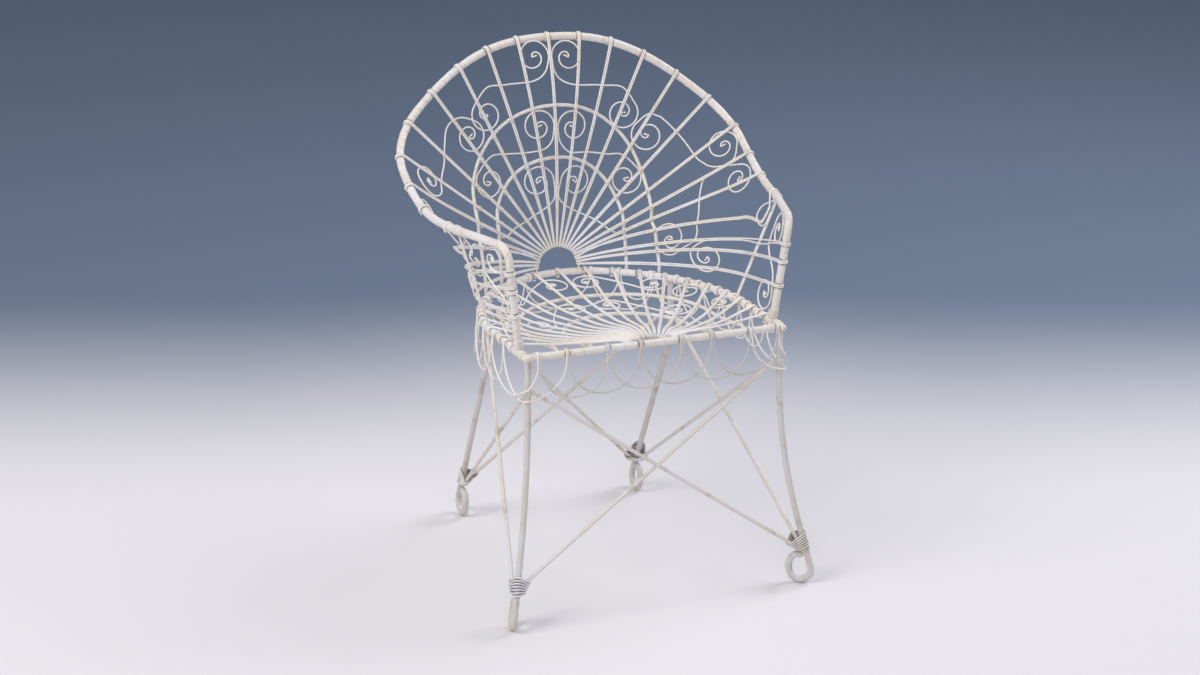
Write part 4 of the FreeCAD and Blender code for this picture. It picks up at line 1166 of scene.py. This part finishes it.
class CHAIR_OT_seat_frame(bpy.types.Operator):
    """Bends the seat rim and lays the front bar"""
    bl_idname = "chair.seat_frame"
    bl_label = "Seat Frame"

    def execute(self, context):
        ties = []
        for j in range(-SEAT_SPOKES, SEAT_SPOKES + 1):
            s = j * SEAT_PITCH
            ties.append((seat_point(s), seat_heading(s), SEAT_ROD, TIE_HALF))
        for t in CHAIN:
            ties.append((hem_point(t), hem_outward(t).cross(up(1)), SEAT_ROD, HEM_TIE_HALF))
        # Rust stains and painted shade beside the ties on the rim and bar.
        darkening = tie_rust_and_shade(ties)
        rim = [seat_point(s) for s in spread(-SEAT_LENGTH, SEAT_LENGTH, 560)]
        lay_wrapped("seat_rim_rod", rim, 2 * SEAT_ROD, 20, "seat_rim", darkening)
        half = SEAT_HALF - SEAT_ROD - CLEAR
        bar = [Vector((x, BAR_Y, SEAT_Z)) for x in spread(-half, half, 230)]
        lay_wrapped("front_bar_rod", bar, 2 * SEAT_ROD, 20, "seat_front_bar", darkening)
        corners = []
        for side in (1, -1):
            bar_end = Vector((side * (half - 14), BAR_Y, SEAT_Z))
            corners.append(coil(bar_end, Vector((1, 0, 0)), SEAT_ROD + WRAP_LIFT, 2.2, 5))
            rim_end = seat_point(side * (SEAT_LENGTH - 16))
            corners.append(coil(rim_end, Vector((0, 1, 0)), SEAT_ROD + WRAP_LIFT, 2.2, 4))
        lay_wound("corner_wraps", corners, WRAP_WIRE)
        return {"FINISHED"}


class CHAIR_OT_back_frame(bpy.types.Operator):
    """Bends the back rim with its arms and posts, and sets the arm struts"""
    bl_idname = "chair.back_frame"
    bl_label = "Back Frame"

    def execute(self, context):
        points = [rim_point(s) for s in spread(0.0, ARM_S, 290)[1:]]
        post_run = unit(POST_TOP - POST_FOOT)
        arm_run = unit(POST_TOP - STRUT_TOP)
        turn = math.acos(arm_run.dot(-post_run))
        bend_from = POST_TOP - arm_run * (ARM_BEND * math.tan(turn / 2))
        bend_side = unit(-post_run - arm_run * math.cos(turn))
        for a in spread(0.0, turn, 12):
            points.append(bend_from + arm_run * (ARM_BEND * math.sin(a))
                          + bend_side * (ARM_BEND * (1 - math.cos(a))))
        points += [mix(points[-1], POST_FOOT, share) for share in spread(0.0, 1.0, 80)[1:]]
        whole = flip(points[::-1]) + [rim_point(0.0)] + points
        # Rust stains and painted shade beside the spokes' ties on the back rim.
        ties = [(*tip_rod(k), TIE_HALF) for k in range(-SPOKES, SPOKES + 1) if abs(k) != 9]
        lay_wrapped("back_rim_rod", whole, 2 * BACK_ROD, 24, "back_rim", tie_rust_and_shade(ties))
        self.struts()
        self.wraps()
        return {"FINISHED"}

    def struts(self):
        run = unit(STRUT_TOP - STRUT_FOOT)
        aside = unit(run.cross(seat_outward(STRUT_S)))
        low, high = STRUT_FOOT + run, STRUT_TOP - run * (BACK_ROD + 2)
        middle = mix(low, high, 0.5)
        pair = [[p + aside * (hand * 1.65) for p in (low, middle, high)] for hand in (1, -1)]
        lay_fine("arm_strut_wires_right", pair, ["arm_strut_right"], STRUT_WIRE)
        lay_fine("arm_strut_wires_left", [flip(p) for p in pair], ["arm_strut_left"], STRUT_WIRE)

    def wraps(self):
        places = [POST_FOOT, on_post(600) - POST_FOOT, STRUT_TOP]
        wraps = []
        for side in (1, -1):
            foot, run, top = places if side > 0 else flip(places)
            wraps.append(coil(foot + up(9), run, BACK_ROD + WRAP_LIFT, 2.2, 6))
            for s, pitch, turns in ((side * POST_S, 2.6, 5), (side * STRUT_S, 2.4, 3)):
                here, along = seat_point(s), seat_heading(s)
                wraps.append(coil(here, along, SEAT_ROD + WRAP_LIFT, pitch, turns))
            wraps.append(coil(top, rim_heading(side * (ARM_S - 2)), BACK_ROD + WRAP_LIFT, 2.6, 3))
        lay_wound("post_wraps", wraps, WRAP_WIRE)


class CHAIR_OT_legs(bpy.types.Operator):
    """Bends the four legs with their loop feet and sets the crossed braces"""
    bl_idname = "chair.legs"
    bl_label = "Legs and Braces"

    def execute(self, context):
        for name, leg in LEGS.items():
            lay_wires("leg_rod_" + name, [leg.path()], LEG_ROD, 20, "plain_rod_paint",
                      ["leg_" + name], swell=foot_swell)
        for (side, low), ends in BRACES.items():
            label = "brace_%s_from_%s" % (side, low)
            rod = [along_rod(ends)(z) for z in spread(ends[0].z, ends[-1].z, 40)]
            lay_wires("rod_" + label, [rod], BRACE_DRAWN, 12, "brace_rod_paint",
                      [label])
        return {"FINISHED"}


class CHAIR_OT_bindings(bpy.types.Operator):
    """Winds the wire bindings of the ankles and ties the braces"""
    bl_idname = "chair.bindings"
    bl_label = "Bindings"

    def execute(self, context):
        wire = context.scene.chair_sizes.binding_wire * 1000
        for name in FEET:
            turns = binding(name, wire)
            # Each binding gets painted shade inside and between its turns.
            lay_wound("ankle_binding_" + name, [turns], wire, ["foot_binding_" + name], 10,
                      darkening=binding_painted_shade(turns))
        ties = []
        for leg in LEGS.values():
            here = leg.axis(BRACE_HIGH)
            ties.append(coil(here, leg.axis(BRACE_HIGH + 20) - here, LEG_ROD / 2 + 1.2, 2.0, 4))
        for side, one, two in SIDES:
            a, b = BRACES[(side, one)], BRACES[(side, two)]
            da, db = unit(a[-1] - a[-2]), unit(b[-1] - b[-2])
            normal = unit(da.cross(db))
            gap = (b[-1] - a[-1]).dot(normal)
            share = (b[-1] - a[-1]).cross(db).dot(normal) / da.cross(db).dot(normal)
            cross = a[-1] + da * share + normal * (gap / 2)
            ties += lashing(cross, da, db, normal, BRACE_ROD + 0.8, BRACE_ROD * 0.62)
        lay_wound("brace_ties", ties, THIN_WRAP)
        return {"FINISHED"}


class CHAIR_OT_back_fan(bpy.types.Operator):
    """Hooks the doubled spokes of the back from hub to rim"""
    bl_idname = "chair.back_fan"
    bl_label = "Back Fan"

    def execute(self, context):
        groups = {
            "back_spokes_centre": (-1, 0, 1), "back_spokes_right": range(2, 9),
            "back_spokes_left": range(-8, -1), "low_spokes_right": range(9, 13),
            "low_spokes_left": range(-12, -8)}
        for label, numbers in groups.items():
            lay_fine("hairpins_" + label, [back_spoke(k) for k in numbers], [label])
        rod = []
        for a in spread(-math.pi / 2, math.pi / 2, 41):
            s = HUB_RING * math.sin(a)
            p = seat_point(s) + seat_outward(s) * 2.4
            rod.append(Vector((p.x, p.y, HUB_Z - 1 + HUB_RING * math.cos(a))))
        foot = SEAT_Z + SEAT_ROD + CLEAR
        rod = [Vector((rod[0].x, rod[0].y, foot))] + rod + [Vector((rod[-1].x, rod[-1].y, foot))]
        lay_wires("back_hub_ring", [rod], 2.8, 12, "fine_wire_paint", ["back_hub"])
        for label, sizes in (("outer", OUTER_HOOP), ("inner", INNER_HOOP)):
            lay_wrapped("back_hoop_rod_" + label, back_hoop(*sizes), HOOP_DRAWN, 14,
                        "back_hoop_" + label)
        return {"FINISHED"}


class CHAIR_OT_scrolls(bpy.types.Operator):
    """Curls the scrolls of the back and the arms and ties them to the spokes"""
    bl_idname = "chair.scrolls"
    bl_label = "Scrolls"

    def execute(self, context):
        ties = []
        for label in SCROLLS:
            stations, path = back_scroll(label)
            lay_fine("curl_" + label, [path], [label], SCROLL)
            ties += self.crossings(stations, path)
        for half, spring in (OUTER_HOOP, INNER_HOOP):
            for k in range(-SPOKES + 1, SPOKES):
                f = hoop_share(abs(k), half, spring)
                along = unit(fan_slopes(k, f)[1])
                normal = fan_normal(k, f)
                centre = sheet_point(k, f, HOOP_LAYER / 2)
                ties += lashing(centre, along, along.cross(normal), normal, 5.4, 4.2)
        path = [panel(u, w) for u, w in scroll_stations(panel, *ARM_SCROLL, BACK_CURL)]
        lay_fine("curl_arm_right", [path], ["arm_scroll_right"], SCROLL)
        lay_fine("curl_arm_left", [flip(path)], ["arm_scroll_left"], SCROLL)
        loop = [sheet_point(k, f, 0.0) for k, f in eased([Vector(p) for p in STRUT_LOOP], 6)]
        open_loop = [p + Vector((17, -4, 8)) * math.sin(math.pi * share)
                     for p, share in zip(flip(loop), spread(0.0, 1.0, len(loop)))]
        lay_fine("strut_loops", [loop, open_loop], (), SCROLL)
        tie = context.scene.chair_sizes.tie_wire * 1000
        lay_wound("crossing_ties", ties, tie, sides=6, closed=True)
        return {"FINISHED"}

    def crossings(self, stations, path):
        rings = []
        for a, b, p, q in zip(stations, stations[1:], path, path[1:]):
            low, high = sorted((a[0], b[0]))
            k = math.ceil(low)
            if low < k <= high and abs(k) <= SPOKES:
                share = (k - a[0]) / (b[0] - a[0])
                f = mix(a[1], b[1], share)
                if 0.05 < f < 0.97:
                    normal = fan_normal(k, f)
                    along = unit(fan_slopes(k, f)[1])
                    centre = mix(p, q, share) - normal * (LAYER_ONE / 2)
                    rings += lashing(centre, along, unit(q - p), normal, 3.2, 3.0)[:1]
        return rings


class CHAIR_OT_seat_fan(bpy.types.Operator):
    """Hooks the doubled spokes of the seat and lays its hoops and scrolls"""
    bl_idname = "chair.seat_fan"
    bl_label = "Seat Fan"

    def execute(self, context):
        groups = {
            "seat_spokes_centre": (-1, 0, 1), "seat_spokes_right": range(2, SEAT_SPOKES + 1),
            "seat_spokes_left": range(-SEAT_SPOKES, -1)}
        for label, numbers in groups.items():
            lay_fine("hairpins_" + label, [seat_spoke(j) for j in numbers], [label], darkening=hub_darkening)
        z = SEAT_TOP - 2.6 - SEAT_RING_DROP
        rod = [SEAT_HUB + Vector((SEAT_RING * math.sin(a), SEAT_RING * math.cos(a), z))
               for a in spread(-math.pi / 2, math.pi / 2, 41)]
        rod = [Vector((rod[0].x, BAR_BACK, z))] + rod + [Vector((rod[-1].x, BAR_BACK, z))]
        lay_wires("seat_hub_ring", [rod], 3.2, 12, "fine_wire_paint", ["seat_hub"],
                  darkening=hub_darkening)
        for label, sizes in (("outer", OUTER_SEAT_HOOP), ("inner", INNER_SEAT_HOOP)):
            lay_wrapped("seat_hoop_rod_" + label, seat_hoop(*sizes), HOOP_DRAWN, 14,
                        "seat_hoop_" + label)
        for side, hand in (("right", 1), ("left", -1)):
            curls = [seat_scroll(pair, hand) for pair in SEAT_SCROLLS]
            lay_fine("curls_seat_" + side, curls, ["seat_scrolls_" + side], SCROLL)
            curls = [seat_scroll(INNER_SEAT_SCROLLS[side], hand, True)]
            lay_fine("inner_curls_seat_" + side, curls, (), SCROLL)
        return {"FINISHED"}


class CHAIR_OT_skirt(bpy.types.Operator):
    """Hangs the looped skirt from the seat rim and ties its crossings"""
    bl_idname = "chair.skirt"
    bl_label = "Skirt"

    def execute(self, context):
        sizes = context.scene.chair_sizes
        wire, depth = sizes.skirt_wire * 1000, sizes.skirt_depth * 1000
        loops = skirt(hem_point, hem_outward, CHAIN, depth, wire)
        side = len(SIDE_TIES) + 1
        parts = {
            "skirt_left": loops[:side], "skirt_front": loops[side:-side],
            "skirt_right": loops[-side:],
            "skirt_back": skirt(seat_point, seat_outward, BACK_TIES, depth, wire)}
        for label, runs in parts.items():
            # The front loops get a darker, more worn copy of the wire paint: the darkening is
            # painted shade.
            paint = "shaded_skirt_wire_paint" if label == "skirt_front" else "fine_wire_paint"
            lay_wires("loops_" + label, runs, wire, 10, paint, [label])
        wraps = [coil(hem_point(t), hem_outward(t).cross(up(1)), SEAT_ROD + 1.6, 2.0, 1.6)
                 for t in CHAIN]
        lay_wound("skirt_wraps", wraps, THIN_WRAP)
        return {"FINISHED"}


class CHAIR_OT_stage(bpy.types.Operator):
    """Lays the studio floor, the soft lamps and the camera"""
    bl_idname = "chair.stage"
    bl_label = "Stage"

    def execute(self, context):
        colours = context.scene.chair_colours
        bare_selection()
        bpy.ops.mesh.primitive_grid_add(
            x_subdivisions=8, y_subdivisions=8, size=60, location=(0, 0, 0))
        floor = context.object
        floor.name = "studio_floor"
        material, start = new_tree("studio_paper")
        place = start.node("ShaderNodeTexCoord", {}, {}, "Object")
        x = start.node("ShaderNodeSeparateXYZ", {}, {0: place}, 0)
        y = start.node("ShaderNodeSeparateXYZ", {}, {0: place}, 1)
        behind = x * AWAY_X + y * AWAY_Y
        aside = x * AWAY_Y - y * AWAY_X
        sideways = start.node("ShaderNodeMath", {"operation": "ABSOLUTE"}, {0: aside})
        # The floor is painted lighter along a band through the chair, a painted pool of light,
        # before it fades to the distance colour.
        glow = 1 - sideways.step(0.0, 0.8)
        fade = (behind - glow * 0.13).step(0.2, 1.6)
        shader = start.node("ShaderNodeBsdfPrincipled", {}, {
            "Base Color": fade.blend(colours.floor, colours.distance), "Roughness": 0.85})
        shader.socket.node.inputs["Specular IOR Level"].default_value = 0.15
        start.node("ShaderNodeOutputMaterial", {}, {"Surface": shader})
        floor.data.materials.append(material)
        self.lamp(context, "left_lamp", (-3.0, -0.7, 3.5), 2.6, 100.0, (1.0, 0.98, 0.95))
        self.lamp(context, "right_lamp", (3.0, 0.3, 3.4), 2.6, 88.0, (0.98, 0.98, 1.0))
        self.lamp(context, "front_lamp", (-1.6, -4.2, 3.0), 3.6, 62.0, (1.0, 0.98, 0.96))
        self.sky(context, colours)
        self.camera(context)
        return {"FINISHED"}

    def lamp(self, context, name, place, width, power, colour):
        bpy.ops.object.light_add(type="AREA", location=place)
        lamp = context.object
        lamp.name = name
        lamp.data.shape = "DISK"
        lamp.data.size = width
        lamp.data.energy = power
        lamp.data.color = colour
        aim = Vector((0, 0, 0.45)) - Vector(place)
        lamp.rotation_euler = aim.to_track_quat("-Z", "Y").to_euler()

    def sky(self, context, colours):
        world = bpy.data.worlds.new("studio_air")
        world.use_nodes = True
        world.node_tree.nodes.clear()
        start = Tone(world.node_tree)
        seen = start.node("ShaderNodeLightPath", {}, {}, "Is Camera Ray")
        glow = start.node("ShaderNodeBackground", {}, {
            "Color": (0.86, 0.9, 1.0, 1.0), "Strength": 0.42})
        wall = start.node("ShaderNodeBackground", {}, {
            "Color": (*colours.distance, 1.0), "Strength": 0.6})
        both = start.node("ShaderNodeMixShader", {}, {0: seen, 1: glow, 2: wall})
        start.node("ShaderNodeOutputWorld", {}, {"Surface": both})
        context.scene.world = world

    def camera(self, context):
        azimuth, elevation, roll = (math.radians(angle) for angle in CAMERA_TURN)
        back = Vector((math.sin(azimuth) * math.cos(elevation),
                       -math.cos(azimuth) * math.cos(elevation), math.sin(elevation)))
        level = Vector((math.cos(azimuth), math.sin(azimuth), 0))
        rise = back.cross(level)
        right = level * math.cos(roll) + rise * math.sin(roll)
        rise = rise * math.cos(roll) - level * math.sin(roll)
        bpy.ops.object.camera_add(location=CAMERA_PLACE)
        camera = context.object
        camera.name = "photo_camera"
        camera.rotation_euler = Matrix((right, rise, back)).transposed().to_euler()
        camera.data.sensor_width = SENSOR
        camera.data.lens = PHOTO_FOCUS / PHOTO_WIDTH * SENSOR
        camera.data.dof.use_dof = False
        context.scene.camera = camera


class CHAIR_PT_builder(bpy.types.Panel):
    """Lists the pieces of the chair"""
    bl_idname = "CHAIR_PT_builder"
    bl_label = "Garden Chair"
    bl_space_type = "VIEW_3D"
    bl_region_type = "UI"
    bl_category = "Garden Chair"

    def draw(self, context):
        column = self.layout.column()
        for group in (context.scene.chair_sizes, context.scene.chair_colours):
            for name in group.__annotations__:
                column.prop(group, name)
        for operator in OPERATORS:
            column.operator(operator.bl_idname)


OPERATORS = (
    CHAIR_OT_seat_frame, CHAIR_OT_back_frame, CHAIR_OT_legs, CHAIR_OT_bindings,
    CHAIR_OT_back_fan, CHAIR_OT_scrolls, CHAIR_OT_seat_fan, CHAIR_OT_skirt, CHAIR_OT_stage,
)
CLASSES = (ChairSizes, ChairColours) + OPERATORS + (CHAIR_PT_builder,)


def register():
    for cls in CLASSES:
        bpy.utils.register_class(cls)
    bpy.types.Scene.chair_sizes = bpy.props.PointerProperty(type=ChairSizes)
    bpy.types.Scene.chair_colours = bpy.props.PointerProperty(type=ChairColours)


def unregister():
    del bpy.types.Scene.chair_sizes
    del bpy.types.Scene.chair_colours
    for cls in reversed(CLASSES):
        bpy.utils.unregister_class(cls)


def main():
    register()
    bpy.context.scene.view_settings.view_transform = "Standard"
    bpy.ops.chair.seat_frame()
    bpy.ops.chair.back_frame()
    bpy.ops.chair.legs()
    bpy.ops.chair.bindings()
    bpy.ops.chair.back_fan()
    bpy.ops.chair.scrolls()
    bpy.ops.chair.seat_fan()
    bpy.ops.chair.skirt()
    bpy.ops.chair.stage()


if __name__ == "__main__":
    main()
